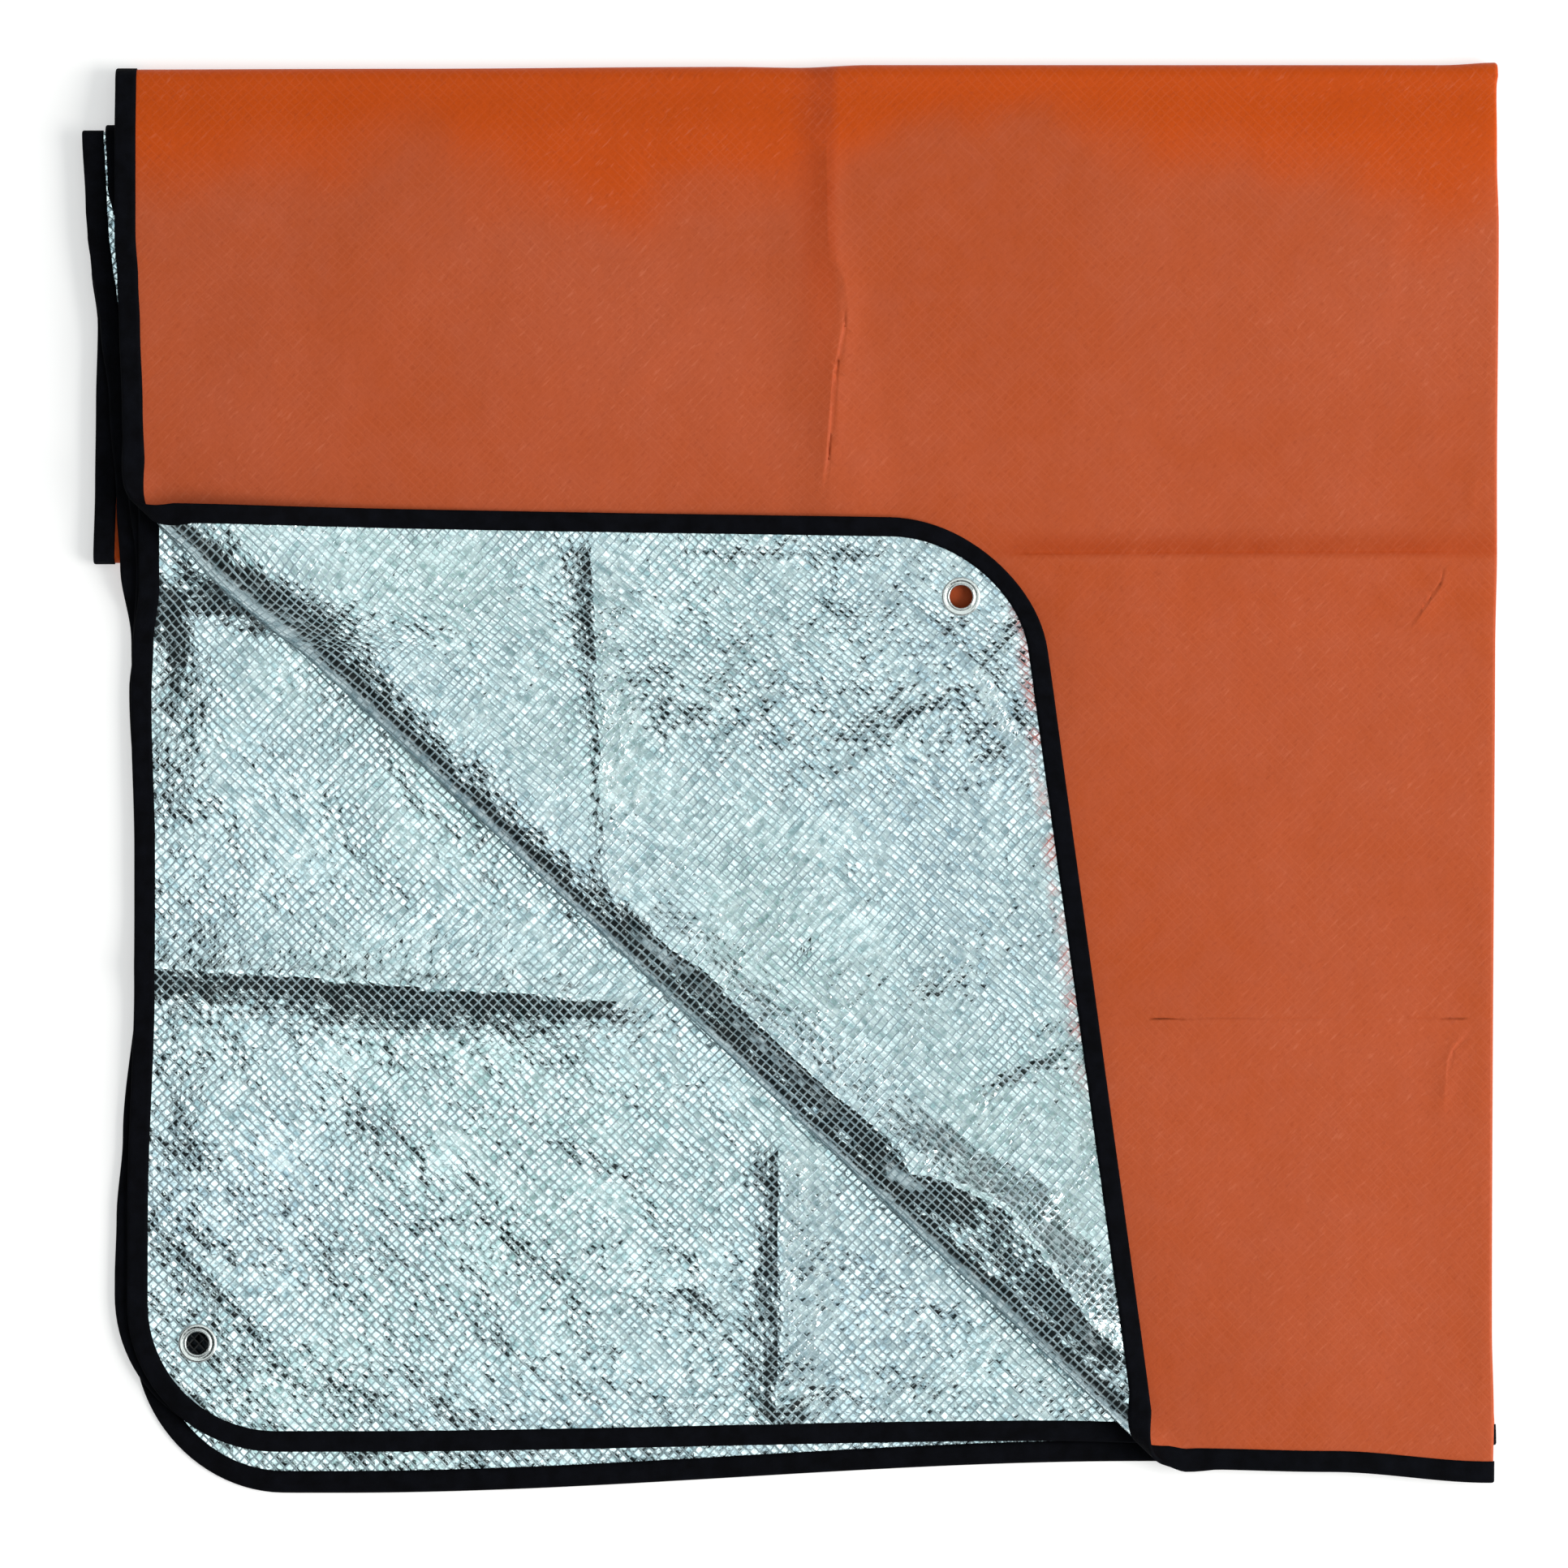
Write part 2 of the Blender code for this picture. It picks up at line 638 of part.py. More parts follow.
def build_tape(flat, faces, mat, parent):
    nexts = border(faces)
    start = min(nexts, key=lambda i: (abs(flat[i][1] - LENGTH), abs(flat[i][0] - HALF)))
    loop, i = [start], nexts[start]
    while i != start:
        loop.append(i)
        i = nexts[i]
    # stations closer than 1.2 mm are left out
    stations = [loop[0]]
    for i in loop[1:]:
        if math.dist(flat[i], flat[stations[-1]]) > 1.2:
            stations.append(i)

    def is_fine(a, v):
        x, y = (left_of("A", 1, 0), 0)
        if a > HALF or v > START["top fold"]:
            return False
        half, share, bulge, offset = across(a)
        y = strip(v, -370 + 757 * share, "A", end_of("A", 1, share))[1]
        x = left_of("A", 1, y) + (right_of(1, y) - left_of("A", 1, y)) * share
        d = turn_frame(x, y)[1]
        return -26 < d < 52

    verts, laid, out, rings = [], [], [], []
    for i in stations:
        ring = []
        for line in tape_section(*flat[i], is_fine(*flat[i])):
            ring.append(list(range(len(verts), len(verts) + len(line))))
            verts += [point for point, _ in line]
            laid += [place for _, place in line]
        rings.append(ring)

    def off_ruling(i, j):
        """How far a diagonal strays from the direction of the fold edge."""
        return abs((laid[i][0] - laid[j][0]) * ALONG[1] - (laid[i][1] - laid[j][1]) * ALONG[0])

    for k, ring in enumerate(rings):
        after = rings[(k + 1) % len(rings)]
        for side in range(8):
            one = ring[side] + [ring[(side + 1) % 8][0]]
            two = after[side] + [after[(side + 1) % 8][0]]
            m, n = len(one) - 1, len(two) - 1
            i = j = 0
            while i < m or j < n:
                if i < m and j < n and m == n:
                    first = off_ruling(one[i + 1], two[j]) < off_ruling(one[i], two[j + 1])
                    if first:
                        out += [(one[i], one[i + 1], two[j]), (one[i + 1], two[j + 1], two[j])]
                    else:
                        out += [(one[i], two[j + 1], two[j]), (one[i], one[i + 1], two[j + 1])]
                    i, j = i + 1, j + 1
                elif j == n or (i < m and (i + 1) / m <= (j + 1) / n):
                    out.append((one[i], one[i + 1], two[j]))
                    i += 1
                else:
                    out.append((one[i], two[j + 1], two[j]))
                    j += 1
    return make("edge_binding", verts, out, [mat], parent)


def build_eyelet(name, layer, x, y, mat, parent):
    """A turned ring: flange, barrel and flange, set square to the sheet."""
    low, high = LAMINATE / 2 + FLANGE_GAP, LAMINATE / 2 + FLANGE_GAP + FLANGE
    profile = [(EYELET_HOLE, high - 0.25), (EYELET_HOLE + 0.5, high), (EYELET_FLANGE - 0.5, high),
               (EYELET_FLANGE, low), (EYELET_BARREL, low)]
    profile += [(r, -z) for r, z in reversed(profile)]
    steps = 18
    verts, out = [], []
    for i in range(steps):
        angle = 2 * math.pi * i / steps
        verts += [Vector((r * math.cos(angle), r * math.sin(angle), z)) for r, z in profile]
    n = len(profile)
    for i in range(steps):
        j = (i + 1) % steps
        for k in range(n):
            m = (k + 1) % n
            out.append((i * n + k, i * n + m, j * n + m, j * n + k))
    obj = make(name, verts, out, [mat], parent)
    point, normal = facing(*unfold(layer, x, y))
    way = Vector((0, 0, 1)) if normal.z > 0 else Vector((0, 0, -1))
    tilt = way.rotation_difference(normal)
    obj.rotation_mode = "QUATERNION"
    obj.rotation_quaternion = tilt
    obj.location = point * MM
    return obj


def main():
    for obj in list(bpy.data.objects):
        bpy.data.objects.remove(obj, do_unlink=True)
    orange = material("orange_laminate", (0.62, 0.11, 0.035), 0.5, 0.0)
    silver = material("silver_scrim", (0.72, 0.76, 0.77), 0.25, 0.9)
    black = material("black_tape", (0.012, 0.012, 0.017), 0.75, 0.0)
    metal = material("eyelet_metal", (0.75, 0.74, 0.70), 0.3, 1.0)

    root = bpy.data.objects.new("blanket", None)
    bpy.context.collection.objects.link(root)
    flat, faces = flat_mesh()
    objects = [build_sheet(flat, faces, [orange, silver], root),
               build_tape(flat, faces, black, root)]
    for name, layer, x, y in EYELETS:
        objects.append(build_eyelet(name, layer, x, y, metal, root))

    # The origin is the middle of the box's lower face.
    bpy.context.view_layer.update()
    corners = [obj.matrix_world @ v.co for obj in objects for v in obj.data.vertices]
    low = [min(c[i] for c in corners) for i in range(3)]
    high = [max(c[i] for c in corners) for i in range(3)]
    root.location = (-(low[0] + high[0]) / 2, -(low[1] + high[1]) / 2, -low[2])
    bpy.context.view_layer.update()


main()
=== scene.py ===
# %% [markdown]
# # An emergency foil blanket, folded flat, one corner turned back
# The real one is a single rectangle of laminate: an orange film and a silver
# foil with a net of threads (the scrim) glued between them. A black tape is
# sewn round its edge and a metal eyelet is set in each corner. This lesson
# makes it in the same order: cut the sheet flat, fold it, bind its edge, set
# the eyelets, then give each its finish.

# %% The fixed frame
import math

import bmesh
import bpy
import numpy as np
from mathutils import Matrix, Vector


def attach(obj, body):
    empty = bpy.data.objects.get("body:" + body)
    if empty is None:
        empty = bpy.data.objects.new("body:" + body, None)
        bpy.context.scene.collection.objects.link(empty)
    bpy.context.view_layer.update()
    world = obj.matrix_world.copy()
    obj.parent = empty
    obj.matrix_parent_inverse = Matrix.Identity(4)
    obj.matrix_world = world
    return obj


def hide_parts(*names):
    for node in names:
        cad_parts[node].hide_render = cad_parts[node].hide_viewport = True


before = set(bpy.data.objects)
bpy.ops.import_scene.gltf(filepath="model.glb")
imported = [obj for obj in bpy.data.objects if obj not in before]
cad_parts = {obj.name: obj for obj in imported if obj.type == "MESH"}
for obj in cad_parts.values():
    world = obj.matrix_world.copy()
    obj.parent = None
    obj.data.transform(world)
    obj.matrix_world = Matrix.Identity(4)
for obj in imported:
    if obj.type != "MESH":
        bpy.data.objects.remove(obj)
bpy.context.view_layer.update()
MM = 0.001
print("nodes in the frame:", len(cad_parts))

# %% [markdown]
# ## Camera
# The blanket lies on a floor and is looked at from straight above. A near
# camera would make the upper layers look larger than the lower ones, so it
# stands far off and looks through a long lens.

# %% Camera
VIEW = 865.5 * MM          # the picture's width, on the blanket
AWAY = 6.0                 # from the camera to the top layer
TOP_LAYER = 12 * MM        # height of that layer, about
AIM = -3.3 * MM            # x and y of the picture's middle
camera_data = bpy.data.cameras.new("camera")
camera_data.sensor_width = 36
camera_data.lens = 36 * AWAY / VIEW
camera = bpy.data.objects.new("camera", camera_data)
bpy.context.scene.collection.objects.link(camera)
camera.location = (AIM, AIM, AWAY + TOP_LAYER)
bpy.context.scene.camera = camera
print("lens", round(camera_data.lens, 1), "mm")

# %% [markdown]
# ## Light
# Foil shows what stands round it, so an even sky would leave it flat and grey.
# Here the bright part of the ceiling fades out slowly to the upper right and
# ends sharply at the lower left: foil that leans to the lower left goes dark.
# It is made of panels of growing size that hang one over the other, because
# their light adds up. A key light far to the right picks out the creases.

# %% Light panels
OVERHEAD = [  # x, y, height, width, length, glow, turn, colour
    (-0.315, -0.315, 2.30, 0.70, 1.6, 0.80, 45, (0.93, 0.98, 1.0)),
    (0.095, 0.145, 2.34, 1.51, 1.61, 0.29, 0, (0.93, 1.0, 0.975)),
    (0.325, 0.40, 2.38, 2.05, 2.20, 0.31, 0, (0.93, 1.0, 0.975)),
    (0.63, 0.73, 2.42, 2.74, 2.94, 0.29, 0, (0.93, 1.0, 0.975)),
    (0.60, 1.22, 2.46, 2.4, 1.35, 0.55, 0, (0.94, 0.99, 1.0)),
]


def light_panel(name, place, wide, long, power, colour):
    data = bpy.data.lights.new(name, "AREA")
    data.shape = "RECTANGLE"
    data.size, data.size_y = wide, long
    data.energy = power
    data.color = colour
    panel = bpy.data.objects.new(name, data)
    bpy.context.scene.collection.objects.link(panel)
    panel.location = place
    return panel


for x, y, high, wide, long, glow, turn, colour in OVERHEAD:
    power = glow * math.pi * wide * long
    panel = light_panel("panel_above", (x, y, high), wide, long, power, colour)
    panel.rotation_euler = (0, 0, math.radians(turn))
key = light_panel("panel_key", (5.0, -0.9, 4.0), 4.0, 4.0, 415.0, (1.0, 0.985, 0.965))
key.rotation_euler = (-key.location).to_track_quat("-Z", "Y").to_euler()

# %% [markdown]
# ## Shader nodes, in few words
# The surroundings and every finish are node trees. Each node is made, set and
# joined in the same way, so a small class holds that once.

# %% Short ways to add nodes
class Nodes:
    """Adds nodes to a tree. An input is given as a socket to join, or as a value."""

    def __init__(self, tree):
        self.tree = tree

    def fill(self, node, inputs):
        """Sets or joins the given inputs, and gives back the node's outputs."""
        for key, value in inputs.items():
            if hasattr(value, "links"):
                self.tree.links.new(value, node.inputs[key])
            else:
                node.inputs[key].default_value = value
        return node.outputs

    def add(self, kind, inputs={}, **settings):
        """A new node. Settings are the choices on it that aren't sockets."""
        node = self.tree.nodes.new(kind)
        for key, value in settings.items():
            setattr(node, key, value)
        return self.fill(node, inputs)

    def math(self, operation, *values):
        return self.add("ShaderNodeMath", dict(enumerate(values)), operation=operation)[0]

    def times(self, a, b):
        return self.math("MULTIPLY", a, b)

    def plus(self, a, b):
        return self.math("ADD", a, b)

    def noise(self, vector, scale, detail=2.0, rough=0.5, out="Fac"):
        return self.add("ShaderNodeTexNoise", {"Vector": vector, "Scale": scale,
                                               "Detail": detail, "Roughness": rough})[out]

    def range(self, value, low, high, to_low=0.0, to_high=1.0, smooth=False):
        return self.add("ShaderNodeMapRange", {"Value": value, "From Min": low, "From Max": high,
                                               "To Min": to_low, "To Max": to_high},
                        interpolation_type="SMOOTHSTEP" if smooth else "LINEAR")["Result"]

    def blend(self, share, one, two):
        return self.add("ShaderNodeMix", {0: share, 6: one, 7: two}, data_type="RGBA")[2]

    def bump(self, height, distance, under=None):
        inputs = {"Strength": 1.0, "Distance": distance, "Height": height}
        return self.add("ShaderNodeBump", {**inputs, "Normal": under} if under else inputs)[0]

    def split(self, vector):
        return self.add("ShaderNodeSeparateXYZ", {0: vector})


print("node helpers:", [name for name in vars(Nodes) if name[0] != "_"])

# %% [markdown]
# ## Surroundings and floor
# Low down the room has pale walls, which light the edges of the stack and the
# sides of the creases. Higher up it is nearly dark, so that only the panels
# show in the foil. The floor glows a little by itself: it stays white under
# a light that is low enough for the foil to keep its darks.

# %% Surroundings
world = bpy.data.worlds.new("studio")
world.use_nodes = True
n = Nodes(world.node_tree)
upward = n.split(n.add("ShaderNodeTexCoord")["Generated"])[2]
n.fill(world.node_tree.nodes["Background"], {
    "Color": (0.93, 0.98, 1.0, 1),
    "Strength": n.range(upward, 0.34, 0.68, 0.70, 0.015, smooth=True)})
bpy.context.scene.world = world
bpy.context.scene.view_settings.view_transform = "Standard"
print("surroundings:", world.name)

# %% Floor
bpy.ops.object.select_all(action="DESELECT")
bpy.ops.mesh.primitive_plane_add(size=12, location=(0, 0, -0.2 * MM))     # just clear of the cloth
floor = bpy.context.object
floor.name = "floor"
print("floor is", floor.dimensions.x, "m wide")

# %% [markdown]
# ## The sizes of the sheet and its folds
# These are the sizes that the solid has, in millimetres. Flat, a runs across
# the sheet's width and v along its length. Half A is a < WIDTH / 2, half B the
# rest. The sheet is folded across its width at the right, silver inside, and
# that doubled strip runs back and forth in four panels, panel 1 on top.
# The edges of a real stack are never in line, so each layer has its own.

# %% Sheet, tape and fold sizes
WIDTH = 1524.0             # the sheet, laid flat
LAMINATE = 1.0             # its thickness
PITCH = 3.0                # from one layer's middle to the next one's
FOLD_1 = 2 * PITCH         # radius of the doubled strip in the top fold
FOLD_2 = PITCH             # and in the two folds inside the stack
CORNER = 83.0              # radius of the sheet's corners
TAPE_WIDTH = 11.0          # edge tape, each side of the sheet
TAPE = 0.35                # its thickness
TAPE_GAP = 0.35            # between tape and sheet
LIFT = 0.8                 # how far the taped edges raise the lowest layer
SHEET_HOLE = 7.4           # radius of the hole cut for an eyelet
STEP_FOLD = 118.5          # outer end of the fold between panels 2 and 3
INNER_FOLD = 359.5         # outer end of the fold between panels 3 and 4
STEP = (71.0, 123.5)       # the upper panels come down between these two
TOP_DIP = (352.5, 385.5)   # and panel 1 dips to the top fold between these
SHIFT = (0.26, 0.27, 0.0)  # puts the middle of the blanket's box at the origin
PANELS = [  # name and length along the strip; low is below the step's start, high above it
    ("1 low", 450.0), ("1 high", 314.0), ("top fold", math.pi * FOLD_1),
    ("2", 260.0), ("step fold", math.pi * FOLD_2), ("3", 230.0),
    ("inner fold", math.pi * FOLD_2), ("4 high", 281.0), ("4 low", 448.0),
]
STARTS = np.concatenate([[0.0], np.cumsum([length for _, length in PANELS])])
START = {name: STARTS[k] for k, (name, _) in enumerate(PANELS)}
LENGTH = float(STARTS[-1])
HALF_PAIR = (PITCH + LAMINATE) / 2             # half the thickness of the doubled strip
CENTRE_2 = STEP_FOLD + FOLD_2 + HALF_PAIR      # y of the middle of the step fold's half circle
CENTRE_3 = INNER_FOLD - FOLD_2 - HALF_PAIR     # and of the inner fold's
REACH = WIDTH / 2 - math.pi * PITCH / 4        # flat part of each half, up to the right fold
EDGE = TAPE_GAP + TAPE                         # how far the tape stands out at an edge
print("the sheet is", WIDTH, "by", round(LENGTH, 1), "mm, flat")

# %% Where the edges of the stack lie
LEFT = {  # outer edge of the tape at the left, x by y
    "A1": [(-375, -364.5), (-19, -365.5), (160.5, -367), (205, -368.5), (249.5, -370),
           (274.5, -371), (299.5, -372.5), (393.5, -372.5)],
    "B1": [(-372.5, -367), (-243, -366.5), (-108.5, -362.5), (-41, -362.5), (44, -364.5),
           (71, -363.5), (106.5, -359.5), (142.5, -359.5), (205, -364.5), (295, -369),
           (393.5, -372.5)],
    "A2": [(118.5, -385), (160.5, -383), (205, -380), (295, -376), (357.5, -372.5),
           (393.5, -372.5)],
    "B2": [(118.5, -369), (205, -370), (295, -371), (393.5, -372.5)],
    "A3": [(118.5, -385), (160.5, -384), (205, -383.5), (250, -382.5), (281.5, -386),
           (314.5, -389), (357.5, -391)],
    "B3": [(118.5, -369), (250, -373.5), (357.5, -378)],
    "A4": [(-395.5, -363.5), (-243, -363), (-108.5, -361.5), (-19, -362), (75.5, -364.5),
           (115.5, -370), (151.5, -372), (205, -376), (251, -381), (266, -383.5),
           (282.5, -386), (299.5, -388), (314.5, -389), (357.5, -391)],
    "B4": [(-367.5, -374.5), (-278, -373.5), (-243, -372.5), (-198, -369), (-108.5, -361),
           (-41, -361), (48.5, -365.5), (71, -363.5), (115.5, -361), (160.5, -365.5),
           (250, -369), (304.5, -372), (325, -376.5), (359.5, -378)],
}
RIGHT = {  # outside of the fold across the width, x by y
    1: [(-389.5, 388), (-352.5, 388.5), (-305.5, 387.5), (160.5, 389.5), (304, 390.5),
        (339.5, 389.5), (377, 389.5), (393.5, 390.5)],
    2: [(118.5, 387), (393.5, 390.5)],
    3: [(118.5, 387), (357.5, 387)],
    4: [(-369, 389.5), (-305.5, 386.5), (118.5, 387), (357.5, 387)],
}
END = {  # outer edge of the tape at the lower free ends, y by x
    "A1": [(-364.5, -375), (207.5, -379.5), (220, -382), (298.5, -383.5), (386, -389.5)],
    "B1": [(-366.5, -372.5), (-248, -372.5), (146, -366.5), (213, -368), (298.5, -377),
           (386, -389.5)],
    "A4": [(-363.5, -394), (-269.5, -395.5), (-248, -395.5), (191, -378), (204.5, -378),
           (386, -369)],
    "B4": [(-373.5, -367.5), (-248, -367.5), (146, -365), (235.5, -366), (386, -369)],
}
# outside of the top fold, y by x
TOP = [(-372.5, 391), (-212.5, 391.5), (-33, 392.5), (5, 392), (43, 393.5), (361, 393.5),
       (390.5, 395)]
print("edge lines:", len(LEFT) + len(RIGHT) + len(END) + 1)

# %% [markdown]
# ## Smooth lines
# An edge line is a short table. Between two of its rows the value glides from
# one to the other, so a line through a few measured places has no corners.
# numpy works on all points of the cloth at once.

# %% Gliding between the rows of a table
def ease(t):
    t = np.clip(t, 0.0, 1.0)
    return t * t * (3 - 2 * t)


def glide(rows, at):
    """Values of a table at the given places, going on straight past its ends."""
    keys, values = np.array(rows, float).T
    i = np.clip(np.searchsorted(keys, at) - 1, 0, len(keys) - 2)
    inner = values[i] + (values[i + 1] - values[i]) * ease((at - keys[i]) / (keys[i + 1] - keys[i]))
    slope = (values[1:] - values[:-1]) / (keys[1:] - keys[:-1]) * 0.5
    return np.where(at <= keys[0], values[0] + slope[0] * (at - keys[0]),
                    np.where(at >= keys[-1], values[-1] + slope[-1] * (at - keys[-1]), inner))


def by_layer(tables, is_a, panel, y):
    """The value for each point, from the table of the half and panel that it is in."""
    out = np.zeros_like(y)
    for half in "AB":
        for number in (1, 2, 3, 4):
            here = (is_a == (half == "A")) & (panel == number)
            out[here] = glide(tables[half + str(number)], y[here])
    return out


print("the left edge of half A's top panel at its middle:", glide(LEFT["A1"], np.array([0.0])))

# %% [markdown]
# ## The strip's path
# Seen from the side, the doubled strip is straight runs joined by half circles.
# Where the upper panels come off the lower two, it slopes down to the floor.
# A drawn curve could show this, but a formula also gives the direction that
# faces out of the strip, and from that the place of each of its two layers.

# %% Height and direction along the strip
def level(k):
    """Height of the middle of the doubled strip when k strips lie under it."""
    return LAMINATE / 2 + PITCH / 2 + 2 * PITCH * k


def drop(y):
    """How many more strips lie under a panel: 0 below the step, 2 above it."""
    return 2 * ease((y - STEP[0]) / (STEP[1] - STEP[0]))


def rise_1(y):
    """Height of panel 1's strip, which dips to the top fold."""
    return level(1 + drop(y) - ease((y - TOP_DIP[0]) / (TOP_DIP[1] - TOP_DIP[0])))


def rise_4(y):
    """Height of panel 4's strip."""
    return level(drop(y))


def top_centre(x):
    """The y of the middle of the top fold's half circle."""
    return glide(TOP, x) - FOLD_1 - HALF_PAIR


def upright(height, y):
    """The y and z of the unit normal of a line that has the given height at y."""
    slope = height(y + 0.5) - height(y - 0.5)
    size = np.hypot(1, slope)
    return -slope / size, 1 / size


def path(v, x, end):
    """Panel, y, z and unit normal (ny, nz) of the middle of the doubled strip."""
    part = np.clip(np.searchsorted(STARTS, v, side="right") - 1, 0, len(PANELS) - 1)
    t = (v - STARTS[part]) / np.array([length for _, length in PANELS])[part]
    top, turn = top_centre(x), math.pi * t
    s, c = np.sin(turn), np.cos(turn)
    flat = np.zeros_like(v)
    low = STEP[0]
    y = np.choose(part, [
        end + (low - end) * t, low + (top - low) * t, top + FOLD_1 * s,
        top + (CENTRE_2 - top) * t, CENTRE_2 - FOLD_2 * s,
        CENTRE_2 + (CENTRE_3 - CENTRE_2) * t, CENTRE_3 + FOLD_2 * s,
        CENTRE_3 + (low - CENTRE_3) * t, low + (end - low) * t])
    z = np.choose(part, [
        rise_1(y), rise_1(y), level(0) + FOLD_1 + FOLD_1 * c, flat + level(0),
        level(0) + FOLD_2 - FOLD_2 * c, flat + level(1), level(1) + FOLD_2 - FOLD_2 * c,
        rise_4(y), rise_4(y)])
    (y1, z1), (y4, z4) = upright(rise_1, y), upright(rise_4, y)
    ny = np.choose(part, [y1, y1, s, flat, -s, flat, -s, -y4, -y4])
    nz = np.choose(part, [z1, z1, c, flat - 1, -c, flat + 1, c, -z4, -z4])
    return np.array([1, 1, 2, 2, 3, 3, 4, 4, 4])[part], y, z, ny, nz


above_step = rise_1(np.array([200.0]))[0]
print("height of the top panel over the step:", round(float(above_step), 1), "mm")

# %% [markdown]
# ## Creases and slack
# A stack of laminate never lies dead flat. Soft mounds lift all the layers
# together. Creases belong to one layer: the old folds it was packed with, and
# the wrinkles that the turned corner pulls into it. Each is a line with a
# height and a half width, and `sharp` says how much of it is a crisp crest.
# They could be sculpted by hand, but tables of lines are easy to read and to
# change, and the mesh can be cut along them before it is folded.

# %% Mounds in the whole stack, ridges on the turned corner
LOOSE = [  # x, y, half length, half width, angle, share of extra height
    (0, 395, 420, 60, 0, 0.10), (20, 215, 170, 34, 97, 0.10), (300, 120, 150, 34, 0, 0.12),
    (-210, -115, 190, 45, -4, 0.30), (-6, -270, 130, 34, 92, 0.25),
    (250, -130, 160, 40, 0, 0.22), (290, -290, 150, 60, 70, 0.15),
    (-250, 250, 150, 70, 60, 0.06),
]
RIDGES = [  # on the turned-back corner: both ends, height, half width
    (-113, 160, -104, 0, 1.0, 24), (-104, 0, -98, -80, 1.4, 24),
    (-290, 116, -130, -25, 3.5, 22), (-98, -80, -10, -150, 5.0, 26),
    (-10, -150, 45, -225, 5.0, 24), (70, -200, 130, -240, 3.5, 20),
    (98, 56, 114, 20, 1.3, 14), (60, -214, 119, -238, 4.2, 20), (119, -238, 182, -322, 5.0, 22),
]
print("mounds:", len(LOOSE), "ridges:", len(RIDGES))

# %% Creases of the top layer, the turned corner and the layer under it
CREASES = {  # line, height, half width, sharp
    "orange": [
        ([(0, 362), (20, 348), (21, 295), (30, 272), (30, 250), (23, 223), (20, 178), (18, 156)],
         1.1, 11, 0.9),
        ([(118, 123), (236, 124.5), (372, 125)], 1.3, 13, 0.9),
        ([(361, 120), (359, 107), (341, 80)], 0.9, 8, 0.8),
        ([(380, 178), (374, 142)], 0.6, 8, 0.8),
        ([(336, 317), (323, 232)], 0.5, 9, 0.6),
        ([(190, -133), (384, -133)], 0.7, 10, 0.9),
        ([(377, -137), (363, -153), (359, -198)], 0.8, 8, 0.8),
        ([(30, 272), (30, 250), (25, 223), (21, 178), (18, 156)], -1.0, 1.7, 1.0),
        ([(118, 123), (236, 123.5), (372, 124)], -1.1, 1.7, 1.0),
        ([(190, -133), (290, -133), (384, -133)], -0.7, 1.7, 1.0),
        ([(361, 119), (358, 107), (350, 96), (341, 82)], -0.8, 1.6, 1.0),
        ([(377, -138), (366, -150), (361, -170)], -0.7, 1.6, 1.0),
        ([(-47, 268), (-96, 205)], 0.5, 16, 0.2),
        ([(-358, 340), (-288, 290)], 0.6, 22, 0.2),
        ([(250, -40), (300, 30)], 0.4, 20, 0.2),
    ],
    "flap": [
        ([(-110, 138), (-107, 71), (-103, -19), (-99, -77)], 1.2, 9, 0.8),
        ([(-104, 138), (-101, 71), (-97, -19), (-93, -70)], 0.9, 20, 0.0),
        ([(41, 120), (79, 84), (112, 53), (136, 12)], -0.9, 6, 1.0),
        ([(122, -242), (168, -214)], 1.2, 15, 0.6),
        ([(97, -171), (156, -146)], 1.7, 10, 0.75),
        ([(118, -158), (150, -128)], 1.0, 8, 0.75),
        ([(150, -205), (164, -190)], 1.0, 6, 0.75),
        ([(-99, -77), (-47, -106), (-10, -143), (20, -171), (51, -195), (82, -217)], 1.2, 9, 0.9),
        ([(-99, -77), (-47, -104), (-10, -141), (20, -169), (51, -193), (88, -216)], 3.6, 25, 0.2),
        ([(-4, -102), (50, -101), (104, -96)], 2.2, 28, 0.0),
        ([(-70, 133), (0, 133), (92, 131)], 2.0, 18, 0.0),
        ([(-210, 100), (-170, 62), (-118, 6)], 1.3, 24, 0.0),
        ([(38, -216), (83, -220), (119, -236), (146, -270), (176, -318)], 1.4, 10, 0.9),
        ([(38, -216), (83, -220), (119, -236), (146, -270), (184, -330)], 4.6, 27, 0.2),
    ],
    "under": [
        ([(-385, -104), (-300, -107), (-212, -115), (-130, -120), (-68, -126)], 1.9, 16, 0.8),
        ([(-385, -101), (-300, -104), (-212, -112), (-130, -117), (-68, -122)], 1.9, 32, 0.0),
        ([(-385, -95), (-212, -105), (-90, -114)], -0.6, 6, 0.6),
        ([(-3, -184), (-7, -250), (-4, -300), (-10, -366)], 1.3, 13, 0.8),
        ([(3, -184), (-1, -250), (2, -300), (-4, -366)], 1.5, 26, 0.0),
        ([(-40, -250), (-44, -330)], 0.8, 16, 0.2),
        ([(-345, -248), (-288, -310), (-262, -345)], 0.8, 8, 0.6),
        ([(-333, 118), (-331, 48)], 0.9, 12, 0.6),
        ([(-345, -12), (-327, -21)], 0.8, 8, 0.5),
        ([(-322, 96), (-322, 40), (-326, -30)], 2.2, 34, 0.0),
        ([(-318, -160), (-322, -215)], 1.6, 26, 0.0),
        ([(60, -262), (120, -292), (150, -330)], 1.8, 26, 0.0),
    ],
}
print("creases:", {name: len(lines) for name, lines in CREASES.items()})

# %% Heights that mounds, ridges and creases give
def loose(x, y):
    """How much more than usual the layers are apart."""
    total = np.ones_like(x)
    for cx, cy, long, wide, angle, gain in LOOSE:
        c, s = math.cos(math.radians(angle)), math.sin(math.radians(angle))
        along = ((x - cx) * c + (y - cy) * s) / long
        over = (-(x - cx) * s + (y - cy) * c) / wide
        total += gain * (1 - ease(np.hypot(along, over)))
    return total


LIFT_LEFT, LIFT_LOW = (-306, 45), (-333, 40)     # full out to this x or y, and gone so far inside


